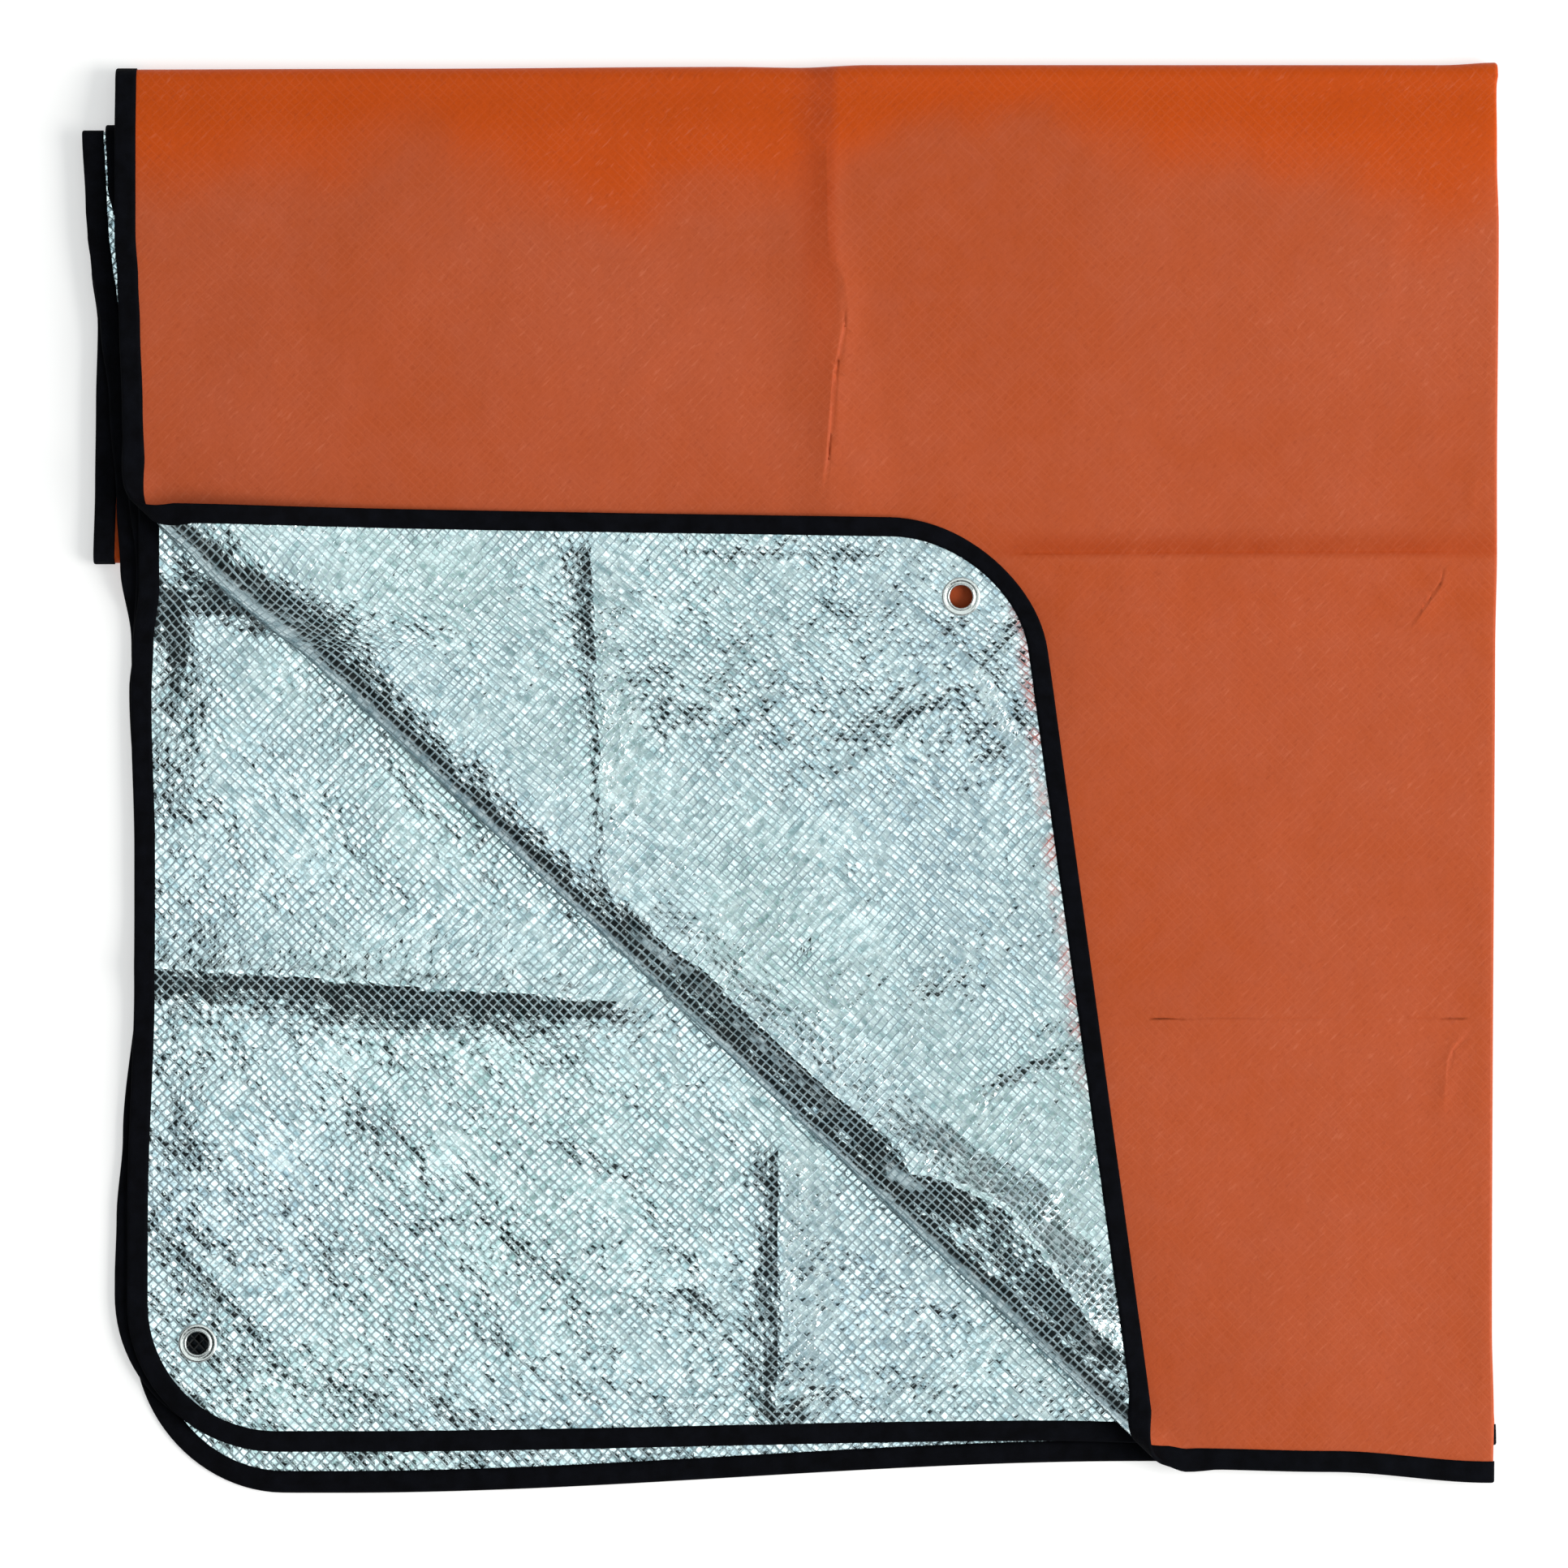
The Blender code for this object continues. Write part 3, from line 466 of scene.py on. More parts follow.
def lift(x, y):
    """What the tape under the lowest layer raises its left and lower edges."""
    side, low = [1 - ease((at - edge) / fade) for at, (edge, fade) in ((x, LIFT_LEFT), (y, LIFT_LOW))]
    return LIFT * (1 - (1 - side) * (1 - low))


def gap_to(x, y, x0, y0, x1, y1):
    """Distance to a straight piece of line, and how far along it."""
    dx, dy = x1 - x0, y1 - y0
    t = np.clip(((x - x0) * dx + (y - y0) * dy) / (dx * dx + dy * dy), 0, 1)
    return np.hypot(x - x0 - t * dx, y - y0 - t * dy), t * math.hypot(dx, dy)


def ridge_height(x, y):
    """The highest of the ridges at each point."""
    best = np.zeros_like(x)
    for x0, y0, x1, y1, height, wide in RIDGES:
        best = np.maximum(best, height * (1 - ease(gap_to(x, y, x0, y0, x1, y1)[0] / wide)))
    return best


FADE = 26.0                # a crease starts and ends over this length
LEVELS_OUT = 14            # and levels out this close to a fold of its layer


def crease_height(name, x, y):
    """The sum of a layer's creases at each point, each fading out towards its ends."""
    total = np.zeros_like(x)
    for line, height, wide, sharp in CREASES[name]:
        whole = sum(math.dist(p, q) for p, q in zip(line, line[1:]))
        near, place, run = np.full_like(x, 1e9), np.zeros_like(x), 0.0
        for p, q in zip(line, line[1:]):
            gap, along = gap_to(x, y, *p, *q)
            place = np.where(gap < near, run + along, place)
            near = np.minimum(near, gap)
            run += math.dist(p, q)
        t = np.clip(near / wide, 0, 1)
        fade = ease(np.minimum(place, whole - place) / min(FADE, whole / 3) + 0.05)
        total += height * fade * ((1 - sharp) * (1 - ease(t)) + sharp * (1 - t) ** 2)
    return total


print("the highest ridge on the turned corner:", max(row[4] for row in RIDGES), "mm")

# %% Clouds of unevenness
CLOUD = 97                 # random heights along each side of a cloud's table
FIRST = 40                 # the one at x 0, y 0, so that none has a negative number


def clouds(x, y, size, seed):
    """Smooth random heights from -1 to 1, always the same for a seed."""
    table = np.random.default_rng(seed).uniform(-1, 1, (CLOUD, CLOUD))
    u, w = x / size + FIRST, y / size + FIRST
    i, j = np.floor(u).astype(int), np.floor(w).astype(int)
    p, q = ease(u - i), ease(w - j)
    i0, i1, j0, j1 = i % CLOUD, (i + 1) % CLOUD, j % CLOUD, (j + 1) % CLOUD
    return ((table[i0, j0] * (1 - p) + table[i1, j0] * p) * (1 - q)
            + (table[i0, j1] * (1 - p) + table[i1, j1] * p) * q)


def uneven(x, y, seed):
    """Clouds of 46 mm and finer ones of 17 mm, turned against each other."""
    return (0.34 * clouds(x + 0.4 * y, y - 0.4 * x, 46, seed)
            + 0.13 * clouds(x - 0.7 * y, 0.6 * y + 0.7 * x, 17, seed + 1))


print("unevenness at the middle:", uneven(np.zeros(1), np.zeros(1), 11).round(2), "mm")

# %% [markdown]
# ## The turned-back corner
# The lower left corner of the top layer is folded over a slanting line, so
# its silver side comes up. Past that line the cloth goes round a soft roll and
# then comes down to lie on the layer under it. A bend modifier would give the
# roll one radius all along. Here its radius changes along the fold edge, as
# in cloth that is held down by its own weight in some places only.

# %% The line that the corner is turned over
TURN_A, TURN_B = (-348.0, 143.5), (191.0, -366.0)      # both ends of the fold edge
TURN_SHRINK = 0.868        # share of its flat length that the turned corner covers
TURN_REST = PITCH          # height over the layer under it
TURN_SETTLE = 110.0        # how far from the roll it has come down to that height
BRIDGE = 95.0              # how far before the step it starts to rise
BRIDGE_GROWS = 85.0        # and how far from the roll it does so fully
TURN_ROLL = [  # radius in height, by distance along the fold edge
    (-60, 7.5), (100, 7.0), (300, 5.5), (520, 5.5), (700, 7.5), (800, 8.0)]
TURN_OVAL = [  # radius in the plane, as a multiple of that
    (-60, 2.3), (60, 2.1), (200, 1.6), (560, 1.6), (680, 2.1), (800, 2.3)]
TURN_SWELL = [  # extra height of the cloth just behind the roll
    (-60, 1.5), (40, 2.8), (300, 2.8), (400, 2.6), (480, 2.4), (640, 2.4), (720, 0.8)]
SWELL_UP = 14              # how far past the roll it is full
SWELL_DOWN = (16, 40)      # how far past the roll it starts to go, and over what length
TURN_SINK = 7.8            # how far its top edge is pulled down, in the plane
RUN = math.dist(TURN_A, TURN_B)
ALONG = ((TURN_B[0] - TURN_A[0]) / RUN, (TURN_B[1] - TURN_A[1]) / RUN)
TOWARD = (ALONG[1], -ALONG[0])          # across the fold edge, towards the corner as it was


def bridge(y):
    """Extra height of the turned corner, which spans the step in a long slope."""
    return 4 * PITCH * (ease((y - STEP[0] + BRIDGE) / (STEP[1] - STEP[0] + BRIDGE))
                        - ease((y - STEP[0]) / (STEP[1] - STEP[0])))


def turn_frame(x, y):
    """Distance along the fold edge, and past it towards the corner as it was."""
    dx, dy = x - TURN_A[0], y - TURN_A[1]
    return dx * ALONG[0] + dy * ALONG[1], dx * TOWARD[0] + dy * TOWARD[1]


def turn_point(s, d):
    """The x and y of such a pair of distances."""
    return TURN_A[0] + s * ALONG[0] + d * TOWARD[0], TURN_A[1] + s * ALONG[1] + d * TOWARD[1]


def roll_at(s):
    """The roll's radius in height and in the plane, its start, and the length round it."""
    roll = glide(TURN_ROLL, s)
    wide = roll * glide(TURN_OVAL, s)
    return roll, wide, -(wide + LAMINATE / 2), math.pi * np.sqrt((roll ** 2 + wide ** 2) / 2)


print("the turned corner's fold edge is", round(RUN), "mm long")

# %% Where the turned corner goes
def sunk(y):
    """How far the top edge is pulled down, which fades out below it."""
    return TURN_SINK * ease((y - 40) / 100)


def turned(x, y):
    """x, y, height over the layer, and the share of the bridge."""
    s, d = turn_frame(x, y)
    roll, wide, begin, round_it = roll_at(s)
    angle = np.clip((d - begin) / round_it, 0, 1) * math.pi
    back = np.maximum(0, d - begin - round_it) * TURN_SHRINK
    on_roll, past = d > begin, back > 0
    rx, ry = turn_point(s, begin + wide * np.sin(angle))
    bx, by = turn_point(s, begin - back)
    x2 = np.where(past, bx, np.where(on_roll, rx, x))
    y2 = np.where(past, by, np.where(on_roll, ry, y))
    y2 = y2 - sunk(y2) * ease((d - begin) / round_it)
    share = ease(back / TURN_SETTLE)
    rest = TURN_REST + ridge_height(x2, y2)
    above = np.where(past, 2 * roll * (1 - share) + rest * share, roll * (1 - np.cos(angle)))
    from_edge = np.where(past, wide + back, wide * (1 - np.sin(angle)))
    stays, falls = SWELL_DOWN
    swell = (glide(TURN_SWELL, s) * ease(from_edge / (wide + SWELL_UP))
             * (1 - ease((from_edge - wide - stays) / falls)) * (angle > math.pi / 2))
    fine = crease_height("flap", x2, y2) + uneven(x2, y2, 5)
    above = above + swell + np.where(past, fine * ease(back / LEVELS_OUT), 0)
    return x2, y2, np.where(on_roll, above, 0), np.where(past, ease(back / BRIDGE_GROWS), 0)


top_edge = sunk(np.array([141.0]))[0]
print("the turned corner's top edge is pulled down", round(float(top_edge), 1), "mm")

# %% [markdown]
# ## The fold
# One function lays any point of the flat sheet where it lies in the folded
# blanket. Everything that is sewn to the sheet goes through it too, so tape
# and eyelets can't come apart from the cloth. It works from a flat place: which
# half and panel it is in, how far across, and how far off the strip's middle.

# %% From flat to folded
def end_line(is_a, number, share):
    """The y of the lower free end of panel 1 or 4, by the share of the way across."""
    out = np.zeros_like(share)
    for half in "AB":
        rows = END[half + str(number)]
        here = is_a == (half == "A")
        out[here] = glide(rows, rows[0][0] + (rows[-1][0] - rows[0][0]) * share[here])
    return out + EDGE


def fold(a, v):
    """Folded place of flat points, an array of x, y, z in millimetres."""
    a, v = np.asarray(a, float), np.asarray(v, float)
    round_fold = (a > REACH) & (a < WIDTH - REACH)
    angle = np.clip((a - REACH) / (PITCH / 2), 0, math.pi)
    is_a = a < WIDTH / 2
    share = np.where(is_a, np.minimum(a, REACH), np.minimum(WIDTH - a, REACH)) / REACH
    offset = np.where(round_fold, PITCH / 2 * np.cos(angle), np.where(is_a, 1, -1) * PITCH / 2)
    bulge = np.where(round_fold, PITCH / 2 * np.sin(angle), 0)
    end = np.where(v < START["2"], end_line(is_a, 1, share), end_line(is_a, 4, share))
    x = -370 + 757 * share     # a first guess: x and y each depend a little on the other
    for _ in range(2):
        panel, y, z, ny, nz = path(v, x, end)
        left = by_layer(LEFT, is_a, panel, y) + EDGE
        right = np.choose(panel - 1, [glide(RIGHT[k], y) for k in (1, 2, 3, 4)]) - HALF_PAIR
        x = left + (right - left) * share
    # the finer creases, fading out at the folds that two layers share and at the roll
    top = v < START["top fold"]
    over = top & is_a
    away = ease((right - x) / LEVELS_OUT) * ease((top_centre(x) - y) / LEVELS_OUT)
    d = turn_frame(x, y)[1]
    orange = (crease_height("orange", x, y) + uneven(x, y, 11)) * away * ease((-10 - d) / 30)
    under = (crease_height("under", x, y) + uneven(x, y, 23)) * away * ease((d - 4) / 24)
    offset = offset + np.where(over, orange, 0) + np.where(top & ~is_a, under, 0)
    x = x + bulge
    # the turned corner
    x2, y2, above, span = turned(x, y)
    lifted = over & (above != 0)
    ny2, nz2 = upright(lambda at: rise_1(at) + span * bridge(at), y2)
    x, y = np.where(lifted, x2, x), np.where(lifted, y2, y)
    z = np.where(lifted, rise_1(y2) + span * bridge(y2), z)
    ny, nz = np.where(lifted, ny2, ny), np.where(lifted, nz2, nz)
    offset = offset + np.where(lifted, above, 0)
    base = LAMINATE / 2
    y, z = y + ny * offset, z + nz * offset
    z = base + lift(x, y) + (z - base) * loose(x, y)
    return np.stack([x + SHIFT[0], y + SHIFT[1], z + SHIFT[2]], axis=-1)


def facing(a, v):
    """Folded place and unit normal on the orange side."""
    d = 0.4                    # how far to each side the slope is taken
    normal = np.cross(fold(a + d, v) - fold(a - d, v), fold(a, v + d) - fold(a, v - d))
    return fold(a, v), normal / np.linalg.norm(normal, axis=-1, keepdims=True)


print("the sheet's first corner folds to", fold([0.0], [0.0])[0].round(1))

# %% And back, for a place that is measured on the folded blanket
def unfold(layer, x, y):
    """Flat place of a point that lies at x, y in panel 1 or 4, or on the turned corner."""
    x, y = np.array([float(x)]), np.array([float(y)])
    if layer == "turn":
        laid = y
        for _ in range(8):     # ends where the point lay before it was pulled down
            y = laid + sunk(y)
        s, d = turn_frame(x, y)
        _, _, begin, round_it = roll_at(s)
        x, y = turn_point(s, begin + round_it + (begin - d) / TURN_SHRINK)
        layer = "A1"
    number, is_a = int(layer[1]), np.array([layer[0] == "A"])
    left = glide(LEFT[layer], y) + EDGE
    share = (x - left) / (glide(RIGHT[number], y) - HALF_PAIR - left)
    end = end_line(is_a, number, share)
    a = share * REACH if layer[0] == "A" else WIDTH - share * REACH
    low, top = (y - end) / (STEP[0] - end), top_centre(x)
    length = dict(PANELS)
    if number == 1:
        v = np.where(low <= 1, low * length["1 low"],
                     START["1 high"] + length["1 high"] * (y - STEP[0]) / (top - STEP[0]))
    else:
        high = START["4 high"] + length["4 high"] * (CENTRE_3 - y) / (CENTRE_3 - STEP[0])
        v = np.where(low <= 1, START["4 low"] + length["4 low"] * (1 - low), high)
    return float(a[0]), float(v[0])


print("a place 50 mm in on the top layer was cut at", np.round(unfold("A1", -325, -325), 1))

# %% [markdown]
# ## Cutting the sheet
# The cloth starts as a flat grid. Its lines are moved to where folds need
# them, then the parts that are seen are divided finely, the hidden ones left
# coarse. A cloth simulation could fold it, but eight layers this close would
# pass through one another, so each point is laid by the fold instead.

# %% A flat grid with its lines where the folds are
BORDER = 24                # strip along each edge that lies in the tape


def read_points(mesh):
    out = np.empty(len(mesh.vertices) * 3)
    mesh.vertices.foreach_get("co", out)
    return out.reshape(-1, 3)


def write_points(mesh, points):
    mesh.vertices.foreach_set("co", points.ravel())
    mesh.update()


def flat_grid(name, across, along):
    """A grid of so many cells, and the column and row number of each of its points."""
    bpy.ops.object.select_all(action="DESELECT")
    bpy.ops.mesh.primitive_grid_add(x_subdivisions=across, y_subdivisions=along, size=2)
    piece = bpy.context.object
    piece.name = name
    co = (read_points(piece.data) + 1) / 2
    return piece, np.rint(co[:, 0] * across).astype(int), np.rint(co[:, 1] * along).astype(int)


def stations(*stops):
    """Places from 0 on, through each (end, number of steps)."""
    out = [0.0]
    for end, steps in stops:
        start = out[-1]
        out += [start + (end - start) * k / steps for k in range(1, steps + 1)]
    return np.round(out, 4)


step_1, step_4 = START["1 high"], START["4 low"]     # where panels 1 and 4 cross the step
columns = stations((BORDER, 2), (REACH, 30), (WIDTH - REACH, 8), (WIDTH - BORDER, 30), (WIDTH, 2))
rows = stations((BORDER, 2), (step_1, 18), (step_1 + 54, 5), (step_1 + 282, 10),
                (START["top fold"], 4), (START["2"], 10), (START["step fold"], 6), (START["3"], 8),
                (START["inner fold"], 6), (START["4 high"], 8), (step_4 - 54, 6), (step_4, 7),
                (LENGTH - BORDER, 17), (LENGTH, 2))
sheet, column, row = flat_grid("sheet", len(columns) - 1, len(rows) - 1)
write_points(sheet.data, np.stack([columns[column], rows[row], 0 * row], axis=-1))
print("flat grid:", len(columns), "by", len(rows), "lines")

# %% Finer where it is seen
FINE = 5.1                 # longest side of a visible cell
NEAR_HOLE = 34             # round an eyelet's middle, fine too
IN_LINE = (-327.5, -312.5)     # x and y of the two eyelets that lie one over the other
EYELETS = [  # name, layer, x, y
    ("eyelet_flap", "turn", 94.0, 100.0), ("eyelet_second", "B1", *IN_LINE),
    ("eyelet_third", "B4", *IN_LINE), ("eyelet_bottom", "A4", -325.0, -349.0)]
ROUGH_X, ROUGH_WIDE = -365, 752               # the stack's left edge and its width, roughly
ROUGH_Y, ROUGH_LOW, ROUGH_HIGH = -370, 441, 315    # its lower edge, and how far panel 1 reaches
holes = {name: unfold(layer, x, y) for name, layer, x, y in EYELETS}


def is_seen(a, v):
    """Whether a flat place is in sight from above, roughly and with a margin."""
    if v > START["top fold"]:
        return False
    is_a = a < WIDTH / 2 + 1
    x = ROUGH_X + ROUGH_WIDE * (a if is_a else WIDTH - a) / REACH
    low, high = PANELS[0][1], PANELS[1][1]
    y = ROUGH_Y + ROUGH_LOW * v / low if v < low else STEP[0] + ROUGH_HIGH * (v - low) / high
    d = turn_frame(x, y)[1]
    if not is_a:
        return d > -26
    # the orange under the turned corner isn't seen: its right edge bends at this place
    bend_x, bend_y = 142, 48
    edge = bend_x + (bend_y - y) * (0.14 if y < bend_y else 0.7)
    return not (d < -24 and y < 116 and x < edge - 30)


def divide(mesh, across):
    """Divides the visible edges that run across the sheet, or along it."""
    groups = {}
    for e in mesh.edges:
        p, q = e.verts[0].co, e.verts[1].co
        if (abs(p.x - q.x) > abs(p.y - q.y)) != across or e.calc_length() < FINE * 1.4:
            continue
        a, v = (p.x + q.x) / 2, (p.y + q.y) / 2
        border = min(v, LENGTH - v) < 25 if across else min(a, WIDTH - a) < 25
        fold_row = across and abs(v - START["top fold"] - 9) < 15
        hole = any(math.dist((a, v), centre) < NEAR_HOLE for centre in holes.values())
        if border or fold_row or hole or is_seen(a, v):
            groups.setdefault(math.ceil(e.calc_length() / FINE) - 1, []).append(e)
    for cuts, edges in sorted(groups.items()):
        bmesh.ops.subdivide_edges(mesh, edges=edges, cuts=cuts, use_grid_fill=True)


flat = bmesh.new()
flat.from_mesh(sheet.data)
divide(flat, True)
divide(flat, False)
print("faces after dividing what is seen:", len(flat.faces))

# %% [markdown]
# ## Cuts in the flat sheet
# Laid flat, cuts are easy: the corners are cut round, the eyelet holes cut
# out, and lines added along the slanting roll and the creases, which puts an
# edge of the mesh on each crest so that it folds crisply. Each cut is a
# straight line through the cloth, made only in the faces near it.

# %% Lines along the roll and the creases
def cut(mesh, p, q, reach):
    """Cuts the faces near the line from p to q."""
    dx, dy = q[0] - p[0], q[1] - p[1]
    size = math.hypot(dx, dy)
    dx, dy = dx / size, dy / size
    near = []
    for f in mesh.faces:
        c = f.calc_center_median()
        cx, cy = c.x - p[0], c.y - p[1]
        if -reach < cx * dx + cy * dy < size + reach and abs(cx * dy - cy * dx) < reach:
            near.append(f)
    geom = near + list({e for f in near for e in f.edges}) + list({v for f in near for v in f.verts})
    bmesh.ops.bisect_plane(mesh, geom=geom, plane_co=(*p, 0), plane_no=(dy, -dx, 0), dist=0.05)


for k in range(19):
    d = -15 + 2.0 * k      # the roll is between 15 mm before its fold edge and 21 past it
    cut(flat, unfold("A1", *turn_point(-70, d)), unfold("A1", *turn_point(RUN + 90, d)), 9)
for name, layer in (("orange", "A1"), ("flap", "turn"), ("under", "B1")):
    for line, _, wide, sharp in CREASES[name]:
        if sharp <= 0.7:
            continue
        for p, q in zip(line, line[1:]):
            size = math.dist(p, q)
            nx, ny = (q[1] - p[1]) / size, (p[0] - q[0]) / size
            for side in (-wide, 0, wide) if wide < 4 else (0,):
                ends = [unfold(layer, x + nx * side, y + ny * side) for x, y in (p, q)]
                cut(flat, *ends, 3)
print("faces after the lines:", len(flat.faces))

# %% Round corners and eyelet holes
CORNERS = [  # middle of each corner's arc, and the angle it starts at
    (CORNER, CORNER, 180), (WIDTH - CORNER, CORNER, 270),
    (WIDTH - CORNER, LENGTH - CORNER, 0), (CORNER, LENGTH - CORNER, 90)]


def corner_arc(number, steps):
    """Places round a corner, each with the direction into the cloth."""
    ca, cv, start = CORNERS[number]
    angles = [math.radians(start + 90 * k / steps) for k in range(steps + 1)]
    return [(ca + CORNER * math.cos(t), cv + CORNER * math.sin(t), -math.cos(t), -math.sin(t))
            for t in angles]


def inside(p, line):
    """Whether p is to the left of every piece of the line."""
    return all((r[0] - q[0]) * (p[1] - q[1]) - (r[1] - q[1]) * (p[0] - q[0]) > 0
               for q, r in zip(line, line[1:]))


for number, (ca, cv, _) in enumerate(CORNERS):
    arc = [place[:2] for place in corner_arc(number, 12)]
    for p, q in zip(arc, arc[1:]):
        cut(flat, p, q, 14)
    outside = []
    for f in flat.faces:
        c = f.calc_center_median()
        beyond = (c.x - ca) * (ca - WIDTH / 2) > 0 and (c.y - cv) * (cv - LENGTH / 2) > 0
        if beyond and not inside(c, arc):
            outside.append(f)
    bmesh.ops.delete(flat, geom=outside, context="FACES")

for name, layer, x, y in EYELETS:
    angles = [math.tau * k / 20 for k in range(20)]
    ring = [unfold(layer, x + SHEET_HOLE * math.cos(t), y + SHEET_HOLE * math.sin(t)) for t in angles]
    if sum(p[0] * q[1] - p[1] * q[0] for p, q in zip(ring, ring[1:] + ring[:1])) < 0:
        ring.reverse()
    ring.append(ring[0])
    for p, q in zip(ring, ring[1:]):
        cut(flat, p, q, 4)
    hole = [f for f in flat.faces if inside(f.calc_center_median(), ring)]
    print(name, "hole:", len(hole), "faces cut out")
    bmesh.ops.delete(flat, geom=hole, context="FACES")

flat.to_mesh(sheet.data)
flat.free()
print("flat sheet:", len(sheet.data.polygons), "faces")

# %% [markdown]
# ## Folding it
# Now every point of the flat sheet is sent through the fold. Its flat place is
# kept as the UV map, in metres, because the scrim is woven along the flat
# cloth and has to go round the folds with it. Solidify gives the laminate its
# thickness, with the silver as the second material on its inner side.

# %% Fold the sheet and give it thickness
def write_uv(mesh, per_vertex):
    """UV map "cloth": flat metres, from two numbers for each vertex."""
    loops = np.empty(len(mesh.loops), int)
    mesh.loops.foreach_get("vertex_index", loops)
    while mesh.uv_layers:
        mesh.uv_layers.remove(mesh.uv_layers[0])
    mesh.uv_layers.new(name="cloth").data.foreach_set("uv", per_vertex[loops].ravel())


def thicken(piece, thickness, inner_material=0):
    solid = piece.modifiers.new("thickness", "SOLIDIFY")
    solid.thickness = thickness * MM
    solid.offset = 0
    solid.material_offset = inner_material


def apply_all(piece):
    bpy.ops.object.select_all(action="DESELECT")
    piece.select_set(True)
    bpy.context.view_layer.objects.active = piece
    for modifier in list(piece.modifiers):
        bpy.ops.object.modifier_apply(modifier=modifier.name)
    bpy.ops.object.shade_smooth()


cloth = read_points(sheet.data)[:, :2]
write_uv(sheet.data, cloth * MM)
folded = fold(cloth[:, 0], cloth[:, 1])
write_points(sheet.data, folded * MM)
thicken(sheet, LAMINATE, inner_material=1)
print("folded:", np.ptp(folded, axis=0).round(1), "mm")

# %% [markdown]
# ## The edge tape
# The binding is a woven tape folded in half over the edge, so it is one long
# flat ribbon: a grid, one end joined to the other. A curve with a bevel could
# follow the edge too, but it would twist in the folds. Here the ribbon's
# cross-section goes in on the orange side, round the edge in a half circle
# and back on the silver side, and each of its points is laid by the fold.

# %% Places along the edge of the sheet
def crossings():
    """Closer places where the slanting roll crosses the left edge and the lower edge."""
    x, y = -364.9, -374.0      # those edges, where they meet the fold edge
    side, low = [], []
    for k in range(-8, 22):
        d = 1.7 * k            # mm past the fold edge
        side.append(unfold("A1", x, TURN_A[1] + (d - (x - TURN_A[0]) * TOWARD[0]) / TOWARD[1])[1])
        low.append(unfold("A1", TURN_A[0] + (d - (y - TURN_A[1]) * TOWARD[1]) / TOWARD[0], y)[0])
    return side, low


TAPE_STEP = 5              # longest step along the tape


def spread(places, end, closest):
    """The given places between two corners, with more between them where far apart."""
    out = [CORNER]
    for value in sorted(places) + [end]:
        if value - out[-1] < closest or value > end:
            continue
        parts = max(1, math.ceil((value - out[-1]) / TAPE_STEP))
        out += [out[-1] + (value - out[-1]) * k / parts for k in range(1, parts + 1)]
    if out[-1] < end:
        out[-1] = end
    return out


side, low = crossings()
inner = [r for r in rows if CORNER < r < LENGTH - CORNER]
round_right = [c for c in columns if REACH <= c <= WIDTH - REACH]
bottom, end_row = [spread(places, WIDTH - CORNER, 0.25) for places in (round_right + low, round_right)]
left, far = [spread(places, LENGTH - CORNER, 0.9) for places in (inner + side, inner)]
bound = [(a, 0, 0, 1) for a in bottom] + corner_arc(1, 24)[1:-1]
bound += [(WIDTH, v, -1, 0) for v in far] + corner_arc(2, 24)[1:-1]
bound += [(a, LENGTH, 0, -1) for a in reversed(end_row)] + corner_arc(3, 24)[1:-1]
bound += [(0, v, 1, 0) for v in reversed(left)] + corner_arc(0, 24)[1:-1]
bound = np.array(bound)
print("places along the edge:", len(bound))

# %% The ribbon
bend = LAMINATE / 2 + TAPE_GAP + TAPE / 2     # from mid-sheet to the middle of the tape
inset = [TAPE_WIDTH, 8.6, 6.2, 3.8, 1.9]      # in from the sheet's edge
section = [(x, bend) for x in inset]
section += [(LAMINATE / 2 - bend * math.sin(t), bend * math.cos(t))
            for t in np.linspace(0, math.pi, 7)]
section += [(x, -bend) for x in reversed(inset)]
section = np.array(section)


def run_of(line):
    """How far along the line each of its points is."""
    return np.concatenate([[0], np.cumsum(np.hypot(*np.diff(line, axis=0).T))])


tape, i, j = flat_grid("tape", len(bound), len(section) - 1)
along, across = run_of(np.vstack([bound, bound[:1]])[:, :2]), run_of(section)
write_uv(tape.data, np.stack([along[i], across[j]], axis=-1) * MM)
a, v, to_a, to_v = bound[i % len(bound)].T
inward, height = section[j].T
point, normal = facing(a + to_a * inward, v + to_v * inward)
write_points(tape.data, (point + normal * height[:, None]) * MM)
bpy.ops.object.mode_set(mode="EDIT")
bpy.ops.mesh.select_all(action="SELECT")
bpy.ops.mesh.remove_doubles(threshold=0.000002)
bpy.ops.object.mode_set(mode="OBJECT")
thicken(tape, TAPE)
apply_all(tape)
print("tape:", len(tape.data.polygons), "faces,", round(along[-1] / 1000, 2), "m long")

# %% [markdown]
# ## The eyelets
# An eyelet is two turned parts pressed together: a ring whose barrel goes
# through the cloth and is rolled outwards, and a dished washer under it. It
# could be put together from tori and cylinders, but the section drawn as one
# closed line and spun round the axis gives all of its rounds in one go.

# %% One eyelet, turned
RING = [  # radius and height of the section, from the bore round the outside
    (6.25, -0.6), (6.25, 0.6), (6.35, 1.0), (6.6, 1.28), (6.95, 1.4), (7.3, 1.34), (7.6, 1.12),
    (7.8, 1.02), (8.3, 1.05), (8.9, 1.28), (9.5, 1.4), (10.05, 1.34), (10.5, 1.12), (10.7, 0.86),
    (10.55, 0.8), (7.05, 0.8), (7.05, -0.8), (10.5, -0.8), (10.7, -0.9), (10.5, -1.15),
    (9.8, -1.3), (7.2, -1.3), (6.5, -1.15),
]
bpy.ops.object.select_all(action="DESELECT")
bpy.ops.mesh.primitive_circle_add(vertices=len(RING), radius=1)
ring = bpy.context.object
ring.name = "eyelet"
for vertex, (r, z) in zip(ring.data.vertices, RING):
    vertex.co = (r * MM, 0, z * MM)
bpy.ops.object.mode_set(mode="EDIT")
